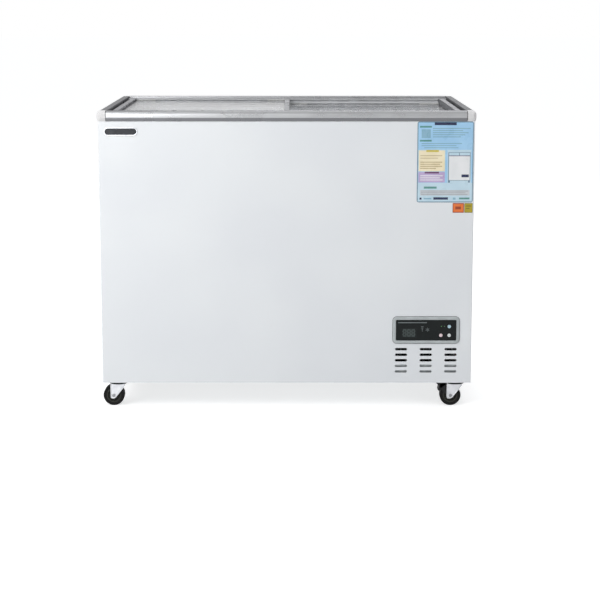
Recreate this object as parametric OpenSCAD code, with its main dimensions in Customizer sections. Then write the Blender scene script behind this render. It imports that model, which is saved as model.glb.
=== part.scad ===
// Display freezer with two sliding glass lids on a steel cabinet that stands on four swivel casters.
// Millimetres, +Z up, front towards -Y. The origin is on the floor under the middle of the cabinet.

/* [Body] */
// Width of the sheet metal body
body_w = 1080; // [900:10:1400]
// Depth of the sheet metal body
body_d = 670; // [600:10:800]
// Height of the body from its underside to the lower edge of the rim
body_h = 768; // [700:4:860]
// Thickness of the outer sheet
sheet_t = 1; // [0.6:0.1:1.5]
// Outer radius of the folds at the front corners
fold_r = 3; // [2:0.5:5]
// Length of the front panel's returns round the corners
front_return = 15; // [8:1:40]
// Thickness of the foam walls
foam_t = 56; // [45:1:75]
// Thickness of the inner liner
liner_t = 1; // [0.8:0.1:2]
// Inner radius of the tub's upright corners
tub_r = 30; // [10:2:60]
// Width of the liner's flange under the rim
flange_w = 30; // [15:1:36]

/* [Machine bay] */
// Width of the machine bay at the lower right
bay_w = 300; // [290:10:400]
// Height of the machine bay
bay_h = 250; // [240:5:320]

/* [Rim] */
// Height of the rim over the body
rim_h = 30; // [26:1:40]
// How far the rim stands out past the body
rim_over = 4; // [3:0.5:6]
// Width of the raised outer band
band_w = 27; // [22:1:32]
// Whole width of the front and back rails
rail_w = 60; // [54:1:66]
// How far the rail's inner part lies under the band
rim_step = 6; // [3:0.5:8]
// Radius of the rim's upper outer edge
edge_r = 12; // [6:1:16]
// Height of the sloping lip at the rim's foot
lip_h = 10; // [6:1:14]
// Depth of the slots that the panes run in
slot_d = 10; // [8:0.5:14]

/* [Lids] */
// Thickness of a pane
glass_t = 4; // [3:0.5:5]
// Height from the lower pane to the upper pane
level_step = 12; // [10.5:0.5:14]
// Thickness of a glide over and under the pane
glide_t = 1; // [0.6:0.1:1.2]
// Length of a glide
glide_len = 70; // [30:5:120]
// Width of a lid's outer end profile
end_w = 20; // [14:1:26]
// Width of a lid's middle profile
mid_w = 15; // [12:1:20]
// Groove between the rim's band and a closed lid
lid_gap = 6; // [4:0.5:8]
// Gap between the two lids' profiles when one lid is fully open
lid_stop = 5; // [3:1:12]

/* [Control panel] */
// Width of the bezel
bezel_w = 195; // [180:1:220]
// Height of the bezel
bezel_h = 80; // [74:1:84]
// How far the bezel stands out from the front
bezel_out = 4; // [3.8:0.1:6]
// Radius of the bezel's corners
bezel_r = 12; // [8:1:16]
// Width of the bezel's visible border
bezel_border = 9.5; // [8:0.5:12]
// Distance of the bezel from the body's right side
bezel_side = 35.6; // [30:0.1:40]
// Height of the bezel's lower edge over the body's underside
bezel_low = 118; // [112:1:130]
// Depth of the control box
control_d = 45; // [30:1:48]
// Diameter of a push button
button_d = 10; // [8:0.5:11]
// How far a button stands out from the fascia
button_out = 1.5; // [1:0.1:2.4]
// How far a button travels
button_travel = 1; // [0.6:0.1:1]
// Diameter of an indicator lamp
lamp_d = 3.2; // [2.5:0.1:5]
// Width of the display window
window_w = 48; // [40:1:54]
// Height of the display window
window_h = 31; // [26:1:34]

/* [Vents] */
// Length of a vent slot
vent_len = 35.5; // [30:0.5:45]
// Height of a vent slot
vent_h = 7.5; // [5:0.5:10]
// Columns of slots
vent_cols = 3; // [1:1:3]
// Rows of slots
vent_rows = 5; // [2:1:5]
// Distance between columns
vent_step_x = 72.5; // [60:0.5:76]
// Distance between rows
vent_step_z = 16.6; // [14:0.1:17]
// Height of the lowest row over the body's underside
vent_low = 34.3; // [30:0.1:36]

/* [Badge and labels] */
// Length of the badge
badge_w = 96; // [60:1:120]
// Height of the badge
badge_h = 23.5; // [15:0.5:30]
// Thickness of the badge
badge_t = 2.5; // [1.5:0.1:3]
// Width of the information label
label_w = 161.5; // [120:0.5:180]
// Height of the information label
label_h = 233.5; // [180:0.5:260]
// Thickness of a label
label_t = 0.25; // [0.2:0.05:0.3]
// Side of the first small label
tag_w = 32.6; // [25:0.1:36]
// Height of the small labels
tag_h = 28; // [20:1:34]

/* [Casters] */
// Height of a caster up to its top plate
caster_h = 75; // [74:0.5:90]
// Diameter of a wheel
wheel_d = 62; // [56:1:63]
// Width of a wheel
wheel_w = 26; // [20:1:27]
// Diameter of the wheel's core
core_d = 44; // [36:1:48]
// Horizontal distance from the swivel axis to the axle
trail = 14; // [10:1:16]
// Diameter of the axle and of the swivel pin
pin_d = 8; // [6:0.5:9]
// Side of the square top plate
plate_w = 58; // [56:1:70]
// Thickness of the top plate
plate_t = 2.5; // [2:0.5:4]
// Thickness of the runners under the body
runner_t = 2.5; // [2:0.5:5]
// Distance of the swivel axes from the body's sides
inset_x = 41; // [36:1:60]
// Distance of the swivel axes from the body's front and back
inset_y = 58; // [40:1:80]

/* [Cooling parts] */
// Diameter of the compressor's shell
comp_d = 150; // [130:2:170]
// Height of the compressor's shell
comp_h = 165; // [140:5:190]
// Outer diameter of the evaporator tube
evap_d = 8; // [6:0.5:9]
// Turns of the evaporator tube round the tub
evap_levels = 4; // [2:2:4]
// Height between the evaporator's turns
evap_step = 75; // [60:1:80]
// Number of condenser fins
fin_count = 15; // [8:1:20]
// Runs of the condenser tube
cond_runs = 6; // [4:2:6]
// Diameter of the fan
fan_d = 150; // [120:2:156]

/* [Hidden] */
$fn = 64;

// Clearances
slide_gap = 0.3;
pin_gap = 0.06;
panel_tuck = 8;
seat_drop = 4;

// Main places
half_w = body_w / 2;
half_d = body_d / 2;
base_z = caster_h + plate_t + runner_t;
rim_z = base_z + body_h;
top_z = rim_z + rim_h;
seat_z = rim_z - seat_drop;
pan_z = base_z + sheet_t;
panel_top = rim_z + panel_tuck;
wall_t = sheet_t + foam_t + liner_t;
tub_x = half_w - wall_t;
tub_y = half_d - wall_t;
floor_z = pan_z + foam_t + liner_t;
bay_x = half_w - bay_w;
bay_z = base_z + bay_h;
step_x = bay_x - foam_t - liner_t;
step_z = bay_z + foam_t + liner_t;

// Rim and lids, with u counted inwards from the body's face
rail_in = rail_w - rim_over;
band_in = band_w - rim_over;
shelf_z = top_z - rim_step;
ledge_t = 5;
low_glass_z = seat_z + 7;
high_glass_z = low_glass_z + level_step;
glide_room = glide_t + slide_gap;
lid_half_d = half_d - rail_in - 1.5;
glass_half_d = half_d - rail_in + slot_d - 1.5;
lid_end_x = half_w - band_in - lid_gap;
lid_travel = lid_end_x - end_w - mid_w / 2 - lid_stop;
glass_in = 8;

// Control panel
bezel_x = half_w - bezel_side - bezel_w / 2;
bezel_z = base_z + bezel_low + bezel_h / 2;
face_w = bezel_w - 2 * bezel_border;
face_h = bezel_h - 2 * bezel_border;
fascia_over = 2;
fascia_t = 2;
bezel_lip = 1.5;
box_w = face_w + 2 * fascia_over;
box_h = face_h + 2 * fascia_over;
fascia_y = -half_d - bezel_out + bezel_lip;
box_y = fascia_y + fascia_t;
board_y = box_y + 10;
// Places on the fascia, from its middle
power_at = [0.383, 0.18];
up_at = [0.383, -0.25];
down_at = [0.245, -0.25];
lamps_at = [[0.253, 0.19], [0.305, 0.19]];
window_at = [-0.285, -0.13];

// Casters
axle_z = wheel_d / 2;
swivel_x = half_w - inset_x;
swivel_y = half_d - inset_y;
leg_t = 2.5;
leg_in = wheel_w / 2 + 2;
leg_out = leg_in + leg_t;
crown_r = 22;
crown_low = caster_h - 9;
bolt_at = plate_w / 2 - 8.5;
bolt_r = 3;
brake_pivot = [-trail - 13, caster_h - 11];

// Cooling parts
evap_r = evap_d / 2;
evap_off = evap_r + 0.2;
evap_low = step_z + 45;
evap_turn_x = 25;
evap_in_x = bay_x + 80;
groove = evap_d + 1;
foam_joint = 0.2;
cond_x = bay_x + bay_w / 2;
cond_y = -half_d + control_d + 43;
cond_d = 45;
cond_half = bay_w / 2 - 32;
cond_r = 4;
cond_step = 27;
cond_low = pan_z + 25;
fan_z = pan_z + 97;
shroud_gap = 4;
shroud_side = 20;
shroud_t = 2;
shroud_depth = 22;
shroud_y = cond_y + cond_d / 2 + 3;
hub_r = 18;
hub_half = 9;
blade_chord = 34;
blade_root = 14;
fan_y = shroud_y + shroud_depth / 2 + 1;
motor_y = fan_y + hub_half + 4;
motor_r = 30;
motor_len = 42;
motor_cap_r = 12;
motor_cap_len = 5;
strut_out = 14;
strut_half = 8;
strut_t = 3;
comp_x = bay_x + bay_w / 2;
comp_y = half_d - 190;
comp_z = pan_z + 14;
comp_foot = 120;
foot_out = 10;
foot_in = 12;
grommet_in = 2.5;
grommet_neck = 6;
grommet_r = 11;
grommet_collar = 9.5;
collar_h = 4;
drier_r = 12;
drier_neck = 10;
drier_body = 78;
drier_end = 6;
drier_x = bay_x + 50;
drier_y = half_d - 110;
drier_z = pan_z + 40;
drier_len = drier_body + 2 * (drier_neck + drier_end);
drain_x = -tub_x * 0.6;
drain_r = 12;
grille_x = bay_x + bay_w / 2 + 10;
grille_w = bay_w - 50;
grille_h = bay_h - 50;
grille_z = base_z + bay_h / 2;
grille_t = 1.2;
grille_edge = 15;
grille_slot_h = 8;
grille_slot_step = 17;
grille_slot_len = grille_w / 2 - 35;
screw_in = 7;
screw_r = 2;
screw_head_r = 4;
screw_head_h = 2;
screw_end = 6;
bolt_head_r = 5;
bolt_head_h = 2.5;
bolt_end = 4;
gland_x = bay_x + 22;
gland_z = base_z + 30;
gland_r = 8;
gland_flange = 12;
gland_bore = 4;
pipe_r = 3;

// Drawing helpers
module along_x(x0, x1) {
    translate([x0, 0, 0]) rotate([90, 0, 90]) linear_extrude(x1 - x0) children();
}
module along_y(y0, y1) {
    translate([0, y1, 0]) rotate([90, 0, 0]) linear_extrude(y1 - y0) children();
}
module block(low, high) {
    translate(low) cube(high - low);
}
module round_rect(low, high, r) {
    translate([low[0] + r, low[1]]) square([high[0] - low[0] - 2 * r, high[1] - low[1]]);
    translate([low[0], low[1] + r]) square([high[0] - low[0], high[1] - low[1] - 2 * r]);
    for (x = [low[0] + r, high[0] - r], y = [low[1] + r, high[1] - r]) translate([x, y]) circle(r);
}
module slot_2d(w, h) {
    square([w - h, h], center = true);
    for (s = [-1, 1]) translate([s * (w - h) / 2, 0]) circle(h / 2);
}
module both_sides() {
    children();
    mirror([1, 0, 0]) children();
}
module at_corners(x, y) {
    for (sx = [-1, 1], sy = [-1, 1]) translate([sx * x, sy * y, 0]) children();
}
// A tube of straight runs with ball elbows
module pipe(points, r) {
    for (i = [0 : len(points) - 2]) {
        v = points[i + 1] - points[i];
        translate(points[i]) rotate([0, acos(v[2] / norm(v)), atan2(v[1], v[0])]) cylinder(h = norm(v), r = r);
        if (i > 0) translate(points[i]) sphere(r);
    }
}
// A square way for a pipe whose runs follow the axes
module duct(points, half) {
    e = [half, half, half];
    for (i = [0 : len(points) - 2]) {
        a = points[i];
        b = points[i + 1];
        low = [min(a[0], b[0]), min(a[1], b[1]), min(a[2], b[2])];
        high = [max(a[0], b[0]), max(a[1], b[1]), max(a[2], b[2])];
        block(low - e, high + e);
    }
}

// Cabinet shell
module shell_2d(inset, r) {
    round_rect([-half_w + inset, -half_d + inset], [half_w - inset, half_d - inset], r);
}
module vent_slots() {
    for (c = [0 : vent_cols - 1], k = [0 : vent_rows - 1]) {
        x = bezel_x + (c - (vent_cols - 1) / 2) * vent_step_x;
        translate([x, base_z + vent_low + k * vent_step_z]) slot_2d(vent_len, vent_h);
    }
}
module front_panel() {
    color("white") difference() {
        translate([0, 0, base_z]) linear_extrude(panel_top - base_z) difference() {
            shell_2d(0, fold_r);
            shell_2d(sheet_t, fold_r - sheet_t);
            translate([-body_w, -half_d + front_return]) square([2 * body_w, body_d]);
        }
        along_y(-half_d - 1, -half_d + sheet_t + 1) {
            vent_slots();
            translate([bezel_x, bezel_z]) square([box_w + 2 * slide_gap, box_h + 2 * slide_gap], center = true);
        }
    }
}
module side_panel() {
    block([half_w - sheet_t, -half_d + front_return + 0.5, base_z], [half_w, half_d, panel_top]);
}
module left_side_panel() {
    color("white") mirror([1, 0, 0]) side_panel();
}
module right_side_panel() {
    color("white") side_panel();
}
module grille_screw_places() {
    for (sx = [-1, 1], sz = [-1, 1]) {
        translate([
            grille_x + sx * (grille_w / 2 - screw_in),
            grille_z + sz * (grille_h / 2 - screw_in)
        ]) children();
    }
}
module back_panel() {
    color("white") along_y(half_d - sheet_t, half_d) difference() {
        translate([-half_w + sheet_t, base_z]) square([body_w - 2 * sheet_t, panel_top - base_z]);
        translate([grille_x, grille_z]) {
            square([grille_w - 2 * grille_edge, grille_h - 2 * grille_edge], center = true);
        }
        grille_screw_places() circle(screw_r + 0.1);
        translate([gland_x, gland_z]) circle(gland_r);
    }
}
module caster_bolt_places() {
    at_corners(swivel_x, swivel_y) at_corners(bolt_at, bolt_at) children();
}
module base_pan() {
    color("silver") difference() {
        translate([0, 0, base_z]) linear_extrude(sheet_t) shell_2d(sheet_t, fold_r - sheet_t);
        caster_bolt_places() translate([0, 0, base_z - 1]) cylinder(h = sheet_t + 2, r = bolt_r + slide_gap);
        translate([drain_x, 0, base_z - 1]) cylinder(h = sheet_t + 2, r = drain_r - 3);
    }
}
module base_runners() {
    color("dimgray") difference() {
        both_sides() block(
            [swivel_x - plate_w / 2 - 1, -half_d + sheet_t + 10, base_z - runner_t],
            [swivel_x + plate_w / 2 + 1, half_d - sheet_t - 10, base_z]
        );
        caster_bolt_places() {
            translate([0, 0, base_z - runner_t - 1]) cylinder(h = runner_t + 2, r = bolt_r + slide_gap);
        }
    }
}

// Insulation and tub
module tub_shape(grow, top) {
    h = top - step_z + grow;
    translate([0, 0, step_z - grow]) linear_extrude(h) {
        round_rect([-tub_x - grow, -tub_y - grow], [tub_x + grow, tub_y + grow], tub_r + grow);
    }
    translate([0, 0, floor_z - grow]) linear_extrude(top - floor_z + grow) {
        round_rect([-tub_x - grow, -tub_y - grow], [step_x + grow, tub_y + grow], tub_r + grow);
    }
}
evap_y = tub_y + liner_t + evap_off;
evap_x = tub_x + liner_t + evap_off;
evap_top = evap_low + (evap_levels - 1) * evap_step;
suction_y = evap_y + 22;
suction_z = bay_z + 18;
suction_x = bay_x + bay_w / 2 - 10;
evap_lead_in = [
    [evap_in_x, evap_y, evap_low],
    [evap_in_x, evap_y, bay_z - 20]
];
evap_lead_out = [
    [evap_turn_x, evap_y, evap_top],
    [evap_turn_x, suction_y, evap_top],
    [evap_turn_x, suction_y, suction_z],
    [suction_x, suction_y, suction_z],
    [suction_x, suction_y, bay_z - 20]
];
// The foam lies against the liner's flats and is cut straight across behind the liner's round corners
foam_cut = (tub_r + liner_t) * (2 - sqrt(2));
foam_x = tub_x + liner_t;
foam_y = tub_y + liner_t;
foam_step_x = step_x + liner_t;
foam_floor_z = floor_z - liner_t;
foam_step_z = step_z - liner_t;
module foam_cavity_2d(right) {
    polygon([
        [-foam_x + foam_cut, -foam_y], [right - foam_cut, -foam_y], [right, -foam_y + foam_cut],
        [right, foam_y - foam_cut], [right - foam_cut, foam_y], [-foam_x + foam_cut, foam_y],
        [-foam_x, foam_y - foam_cut], [-foam_x, -foam_y + foam_cut]
    ]);
}
module foam_cavity() {
    translate([0, 0, foam_step_z]) linear_extrude(seat_z - foam_step_z) foam_cavity_2d(foam_x);
    translate([0, 0, foam_floor_z]) linear_extrude(seat_z - foam_floor_z) foam_cavity_2d(foam_step_x);
}
// Saw cuts that part the foam into flat boards and corner posts, so each has an exact collision piece
module foam_joints() {
    block([-half_w, -half_d, foam_floor_z], [bay_x, half_d, foam_floor_z + foam_joint]);
    block([-half_w, -half_d, foam_step_z], [half_w, half_d, foam_step_z + foam_joint]);
    block([bay_x, -half_d, bay_z], [bay_x + foam_joint, half_d, foam_step_z]);
    for (side = [0, 1], end = [0, 1]) {
        mirror([side, 0, 0]) mirror([0, end, 0]) {
            low = side == 1 ? foam_floor_z : foam_step_z;
            block([foam_x - foam_cut - foam_joint, foam_y, low], [foam_x - foam_cut, half_d, seat_z]);
            block([foam_x, foam_y - foam_cut - foam_joint, low], [half_w, foam_y - foam_cut, seat_z]);
        }
    }
    for (end = [0, 1]) mirror([0, end, 0]) {
        block([foam_step_x - foam_cut, foam_y, foam_floor_z], [bay_x, foam_y + foam_joint, foam_step_z]);
        block([foam_step_x, foam_y - foam_cut, foam_floor_z], [foam_step_x + foam_joint, foam_y, foam_step_z]);
    }
}
module insulation() {
    color("khaki") difference() {
        translate([0, 0, pan_z]) linear_extrude(seat_z - liner_t - pan_z) shell_2d(sheet_t, fold_r - sheet_t);
        foam_cavity();
        foam_joints();
        block([bay_x, -half_d, base_z], [half_w, half_d, bay_z]);
        for (k = [0 : evap_levels - 1]) {
            grow = liner_t + groove;
            translate([0, 0, evap_low + k * evap_step - groove / 2]) linear_extrude(groove) {
                round_rect([-tub_x - grow, -tub_y - grow], [tub_x + grow, tub_y + grow], tub_r + grow);
            }
        }
        block(
            [-evap_turn_x - 15, tub_y, evap_low - groove / 2],
            [evap_turn_x + 15, tub_y + liner_t + groove, evap_top + groove / 2]
        );
        duct(evap_lead_in, groove / 2);
        duct(evap_lead_out, groove / 2);
        translate([drain_x, 0, base_z]) cylinder(h = floor_z - base_z, r = drain_r);
        caster_bolt_places() translate([0, 0, base_z]) cylinder(h = 9, r = bolt_r + 2);
    }
}
module inner_liner() {
    color("whitesmoke") difference() {
        union() {
            tub_shape(liner_t, seat_z - liner_t);
            translate([0, 0, seat_z - liner_t]) linear_extrude(liner_t) {
                round_rect([-tub_x - flange_w, -tub_y - flange_w], [tub_x + flange_w, tub_y + flange_w], tub_r);
            }
        }
        tub_shape(0, seat_z + 1);
        translate([drain_x, 0, floor_z - 2 * liner_t]) cylinder(h = 3 * liner_t, r = drain_r - 3);
    }
}
module bay_divider() {
    low = -half_d + sheet_t + 1;
    color("silver") difference() {
        along_y(low, -low) polygon([
            [bay_x, pan_z], [bay_x, bay_z], [half_w - sheet_t, bay_z],
            [half_w - sheet_t, bay_z - sheet_t], [bay_x + sheet_t, bay_z - sheet_t], [bay_x + sheet_t, pan_z]
        ]);
        translate([evap_in_x, evap_y, bay_z - 5]) cylinder(h = 10, r = evap_r + slide_gap);
        translate([suction_x, suction_y, bay_z - 5]) cylinder(h = 10, r = evap_r + slide_gap);
    }
}
module drain_tube() {
    color("gray") translate([drain_x, 0, pan_z]) difference() {
        cylinder(h = foam_t, r = drain_r);
        translate([0, 0, -1]) cylinder(h = foam_t + 2, r = drain_r - 3);
    }
}
module drain_plug() {
    color("dimgray") translate([drain_x, 0, floor_z]) {
        rotate_extrude() {
            translate([0, -18]) square([drain_r - 3 - slide_gap, 18 + slide_gap]);
            translate([0, slide_gap]) square([drain_r + 4, 2]);
        }
        translate([-8, -1.5, slide_gap + 2]) cube([16, 3, 5]);
    }
}
module evaporator_coil() {
    turn_r = tub_r + liner_t + evap_off;
    run_x = evap_x - turn_r;
    run_y = evap_y - turn_r;
    color("peru") {
        for (k = [0 : evap_levels - 1]) {
            right_x = k == 0 ? evap_in_x : evap_turn_x;
            translate([0, 0, evap_low + k * evap_step]) {
                translate([-run_x, -evap_y, 0]) rotate([0, 90, 0]) cylinder(h = 2 * run_x, r = evap_r);
                for (s = [-1, 1]) translate([s * evap_x, -run_y, 0]) {
                    rotate([-90, 0, 0]) cylinder(h = 2 * run_y, r = evap_r);
                }
                translate([-run_x, evap_y, 0]) rotate([0, 90, 0]) cylinder(h = run_x - evap_turn_x, r = evap_r);
                translate([right_x, evap_y, 0]) rotate([0, 90, 0]) cylinder(h = run_x - right_x, r = evap_r);
                for (q = [[run_x, run_y, 0], [-run_x, run_y, 90], [-run_x, -run_y, 180], [run_x, -run_y, 270]]) {
                    translate([q[0], q[1], 0]) rotate([0, 0, q[2]]) rotate_extrude(angle = 90) {
                        translate([turn_r, 0]) circle(evap_r);
                    }
                }
            }
        }
        for (k = [0 : evap_levels - 2]) {
            side = k % 2 == 0 ? -1 : 1;
            translate([side * evap_turn_x, evap_y, evap_low + (k + 0.5) * evap_step]) {
                rotate([90, side * -90, 0]) rotate_extrude(angle = 180) {
                    translate([evap_step / 2, 0]) circle(evap_r);
                }
            }
        }
        translate(evap_lead_in[0]) sphere(evap_r);
        pipe(evap_lead_in, evap_r);
        translate(evap_lead_out[0]) sphere(evap_r);
        pipe(evap_lead_out, evap_r);
    }
}

// Rim, drawn with the first coordinate inwards from the body's face and the second upwards
module edge_round_2d() {
    translate([-rim_over, top_z - edge_r]) difference() {
        translate([-1, 0]) square([edge_r + 1, edge_r + 1]);
        translate([edge_r, 0]) circle(edge_r);
    }
}
band_foot = [[band_in, seat_z]];
shelf_foot = [[band_in, shelf_z], [rail_in, shelf_z], [rail_in, seat_z]];
module band_2d(foot) {
    difference() {
        polygon(concat([
            [-1.5, rim_z], [-rim_over, rim_z + lip_h], [-rim_over, top_z], [band_in - 1, top_z],
            [band_in, top_z - 1]
        ], foot, [
            [sheet_t + 0.7, seat_z], [sheet_t + 0.7, panel_top + 1], [-slide_gap, panel_top + 1],
            [-slide_gap, rim_z]
        ]));
        edge_round_2d();
    }
}
module pane_slot_2d(glass_z) {
    translate([rail_in - slot_d, glass_z - glide_room]) square([slot_d + 1, glass_t + 2 * glide_room]);
}
module long_rail() {
    color("gainsboro") along_x(-half_w + band_in, half_w - band_in) translate([-half_d, 0]) difference() {
        band_2d(shelf_foot);
        pane_slot_2d(low_glass_z);
        pane_slot_2d(high_glass_z);
    }
}
module front_rail() {
    long_rail();
}
module back_rail() {
    mirror([0, 1, 0]) long_rail();
}
module side_rails() {
    color("gainsboro") both_sides() {
        along_y(-half_d + band_in, half_d - band_in) translate([-half_w, 0]) band_2d(band_foot);
        block(
            [-half_w + band_in - 1, -half_d + rail_in, seat_z],
            [-half_w + rail_in, half_d - rail_in, seat_z + ledge_t]
        );
    }
}
module corner_caps() {
    color("lightgray") both_sides() for (m = [0, 1]) mirror([0, m, 0]) intersection() {
        along_x(-half_w - rim_over, -half_w + band_in) translate([-half_d, 0]) band_2d(band_foot);
        along_y(-half_d - rim_over, -half_d + band_in) translate([-half_w, 0]) band_2d(band_foot);
        translate([0, 0, seat_z]) linear_extrude(top_z - seat_z) {
            round_rect([-half_w - rim_over, -half_d - rim_over], [half_w, half_d], edge_r);
        }
    }
}

// Lids, drawn closed
module end_profile_2d(glass_z) {
    low = seat_z + ledge_t + 0.5;
    difference() {
        polygon([
            [0, low], [0, shelf_z - 2], [2, shelf_z], [end_w - 6, shelf_z], [end_w - 4, shelf_z + 1.5],
            [end_w - 1, shelf_z + 1.5], [end_w, shelf_z], [end_w, low]
        ]);
        translate([end_w - glass_in, glass_z]) square([glass_in + 1, glass_t]);
    }
}
module lid_glass(x_out, x_in, glass_z) {
    color("lightblue", 0.35) block([x_out, -glass_half_d, glass_z], [x_in, glass_half_d, glass_z + glass_t]);
}
module lid_glides(x_out, x_in, glass_z) {
    d = slot_d - 1;
    for (x = [x_out, x_in - glide_len], s = [-1, 1]) {
        difference() {
            translate([x, s > 0 ? glass_half_d + 1 - d : -glass_half_d - 1, glass_z - glide_t]) {
                cube([glide_len, d, glass_t + 2 * glide_t]);
            }
            block([x_out - 1, -glass_half_d, glass_z], [x_in + 1, glass_half_d, glass_z + glass_t]);
        }
    }
}
left_glass_x = [-lid_end_x + end_w - glass_in, mid_w / 2 - 2];
right_glass_x = [-mid_w / 2 + 2, lid_end_x - end_w + glass_in];
module left_lid_glass() {
    lid_glass(left_glass_x[0], left_glass_x[1], high_glass_z);
}
module right_lid_glass() {
    lid_glass(right_glass_x[0], right_glass_x[1], low_glass_z);
}
module left_lid_glides() {
    color("white") lid_glides(left_glass_x[0], left_glass_x[1], high_glass_z);
}
module right_lid_glides() {
    color("white") lid_glides(right_glass_x[0], right_glass_x[1], low_glass_z);
}
module left_lid_profiles() {
    color("silver") along_y(-lid_half_d, lid_half_d) {
        translate([-lid_end_x, 0]) end_profile_2d(high_glass_z);
        difference() {
            translate([-mid_w / 2, high_glass_z - 1.4]) square([mid_w, shelf_z - high_glass_z + 1]);
            translate([-mid_w, high_glass_z]) square([mid_w + left_glass_x[1], glass_t]);
        }
    }
}
module right_lid_profiles() {
    color("silver") along_y(-lid_half_d, lid_half_d) {
        mirror([1, 0]) translate([-lid_end_x, 0]) end_profile_2d(low_glass_z);
        difference() {
            translate([-mid_w / 2, low_glass_z - 1.4]) square([mid_w, level_step - 0.6]);
            translate([right_glass_x[0], low_glass_z]) square([mid_w, glass_t]);
        }
    }
}

// Control panel
module fascia_places(at) {
    translate([bezel_x + at[0] * face_w, 0, bezel_z + at[1] * face_h]) children();
}
module forward_cylinder(y_front, y_back, r) {
    translate([0, y_front, 0]) rotate([-90, 0, 0]) cylinder(h = y_back - y_front, r = r);
}
module control_bezel() {
    color("silver") translate([bezel_x, 0, bezel_z]) difference() {
        along_y(-half_d - bezel_out, -half_d) {
            round_rect([-bezel_w / 2, -bezel_h / 2], [bezel_w / 2, bezel_h / 2], bezel_r);
        }
        along_y(-half_d - bezel_out - 1, -half_d + 1) {
            round_rect([-face_w / 2, -face_h / 2], [face_w / 2, face_h / 2], 4);
        }
        along_y(fascia_y, -half_d + 1) square([box_w, box_h], center = true);
    }
}
module control_fascia() {
    color("black") difference() {
        translate([bezel_x, 0, bezel_z]) along_y(fascia_y, box_y) square([box_w, box_h], center = true);
        for (at = [power_at, up_at, down_at]) {
            fascia_places(at) forward_cylinder(fascia_y - 1, box_y + 1, button_d / 2 + slide_gap);
        }
        for (at = lamps_at) fascia_places(at) forward_cylinder(fascia_y - 1, box_y + 1, lamp_d / 2);
        fascia_places(window_at) along_y(fascia_y - 1, fascia_y + 1) {
            square([window_w, window_h], center = true);
        }
    }
}
module control_box() {
    back = -half_d + control_d;
    color("dimgray") translate([bezel_x, 0, bezel_z]) difference() {
        along_y(box_y, back) square([box_w, box_h], center = true);
        along_y(box_y - 1, back - 2) square([box_w - 4, box_h - 4], center = true);
    }
}
module control_board() {
    color("darkgreen") {
        translate([bezel_x, 0, bezel_z]) along_y(board_y, board_y + 1.6) {
            square([box_w - 4, box_h - 4], center = true);
        }
        for (at = [power_at, up_at, down_at]) {
            fascia_places(at) along_y(box_y + 4.4, board_y) square([6, 6], center = true);
        }
        fascia_places(window_at) along_y(box_y, board_y) square([window_w - 6, window_h - 6], center = true);
    }
}
module display_window() {
    color("darkslategray") fascia_places(window_at) along_y(fascia_y - 0.2, fascia_y + 1) {
        square([window_w, window_h], center = true);
    }
}
module indicator_lamps() {
    color("lime") for (at = lamps_at) fascia_places(at) {
        forward_cylinder(fascia_y - 0.8, board_y, lamp_d / 2);
    }
}
module push_button(at) {
    fascia_places(at) {
        forward_cylinder(fascia_y - button_out, box_y + slide_gap, button_d / 2);
        forward_cylinder(box_y + slide_gap, box_y + 2, button_d / 2 + 1);
        forward_cylinder(box_y + 2, box_y + 3, 2);
    }
}
module power_button() {
    color("lightsteelblue") push_button(power_at);
}
module up_button() {
    color("white") push_button(up_at);
}
module down_button() {
    color("mistyrose") push_button(down_at);
}

// Badge and labels
module badge_plate() {
    color("#30343a") translate([-half_w + 64.4, 0, rim_z - 29.4]) along_y(-half_d - badge_t, -half_d) {
        slot_2d(badge_w, badge_h);
    }
}
label_right = half_w - fold_r - 0.5;
label_top = rim_z - 0.5;
module front_labels() {
    top = label_top - label_h - 2;
    left = label_right - tag_w - 25;
    color("lightskyblue") block(
        [label_right - label_w, -half_d - label_t, label_top - label_h],
        [label_right, -half_d, label_top]
    );
    color("orange") {
        block([left, -half_d - label_t, top - tag_h], [left + tag_w, -half_d, top]);
        block([left + tag_w + 1.2, -half_d - label_t, top - tag_h], [label_right, -half_d, top]);
    }
}

// Machine bay
module compressor() {
    r = comp_d / 2;
    dome = 45;
    color("#202020") translate([comp_x, comp_y, comp_z]) {
        rotate_extrude() {
            square([r, comp_h - dome]);
            translate([0, comp_h - dome]) dome_2d(r, dome);
            translate([0, (comp_h - dome) * 0.55]) square([r + 3, 6]);
        }
        difference() {
            block([-comp_foot / 2 - 25, -comp_foot / 2, -3], [comp_foot / 2 + 25, comp_foot / 2, 0]);
            at_corners(comp_foot / 2 + foot_out, comp_foot / 2 - foot_in) {
                translate([0, 0, -4]) cylinder(h = 5, r = grommet_neck + slide_gap);
            }
        }
        for (p = [[-r - 10, 0, 60], [0, -r - 10, 75]]) {
            dir = p[0] < 0 ? 90 : 0;
            translate([p[0] / 1.2, p[1] / 1.2, p[2]]) rotate([90, 0, -dir]) cylinder(h = 25, r = pipe_r + 2);
        }
    }
}
// Half of a flat dome of width r and height h, cut from one large circle
module dome_2d(r, h) {
    big = (r * r + h * h) / (2 * h);
    intersection() {
        translate([0, h - big]) circle(big, $fn = 256);
        square([r, h]);
    }
}
module compressor_grommets() {
    color("#303030") translate([comp_x, comp_y, 0]) {
        at_corners(comp_foot / 2 + foot_out, comp_foot / 2 - foot_in) {
            translate([0, 0, pan_z]) rotate_extrude() translate([grommet_in, 0]) {
                square([grommet_r - grommet_in, comp_z - 3 - pan_z]);
                square([grommet_neck - grommet_in, comp_z - pan_z + 2]);
                translate([0, comp_z - pan_z]) square([grommet_collar - grommet_in, collar_h]);
            }
        }
    }
}
module terminal_cover() {
    color("#181818") translate([comp_x + comp_d / 2 + 3.3, comp_y, comp_z + 55]) {
        along_y(-28, 28) translate([0, -25]) polygon([[0, 0], [26, 4], [26, 38], [18, 50], [0, 50]]);
    }
}
function cond_z(k) = cond_low + k * cond_step;
cond_top = cond_z(cond_runs - 1) + 14;
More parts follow.
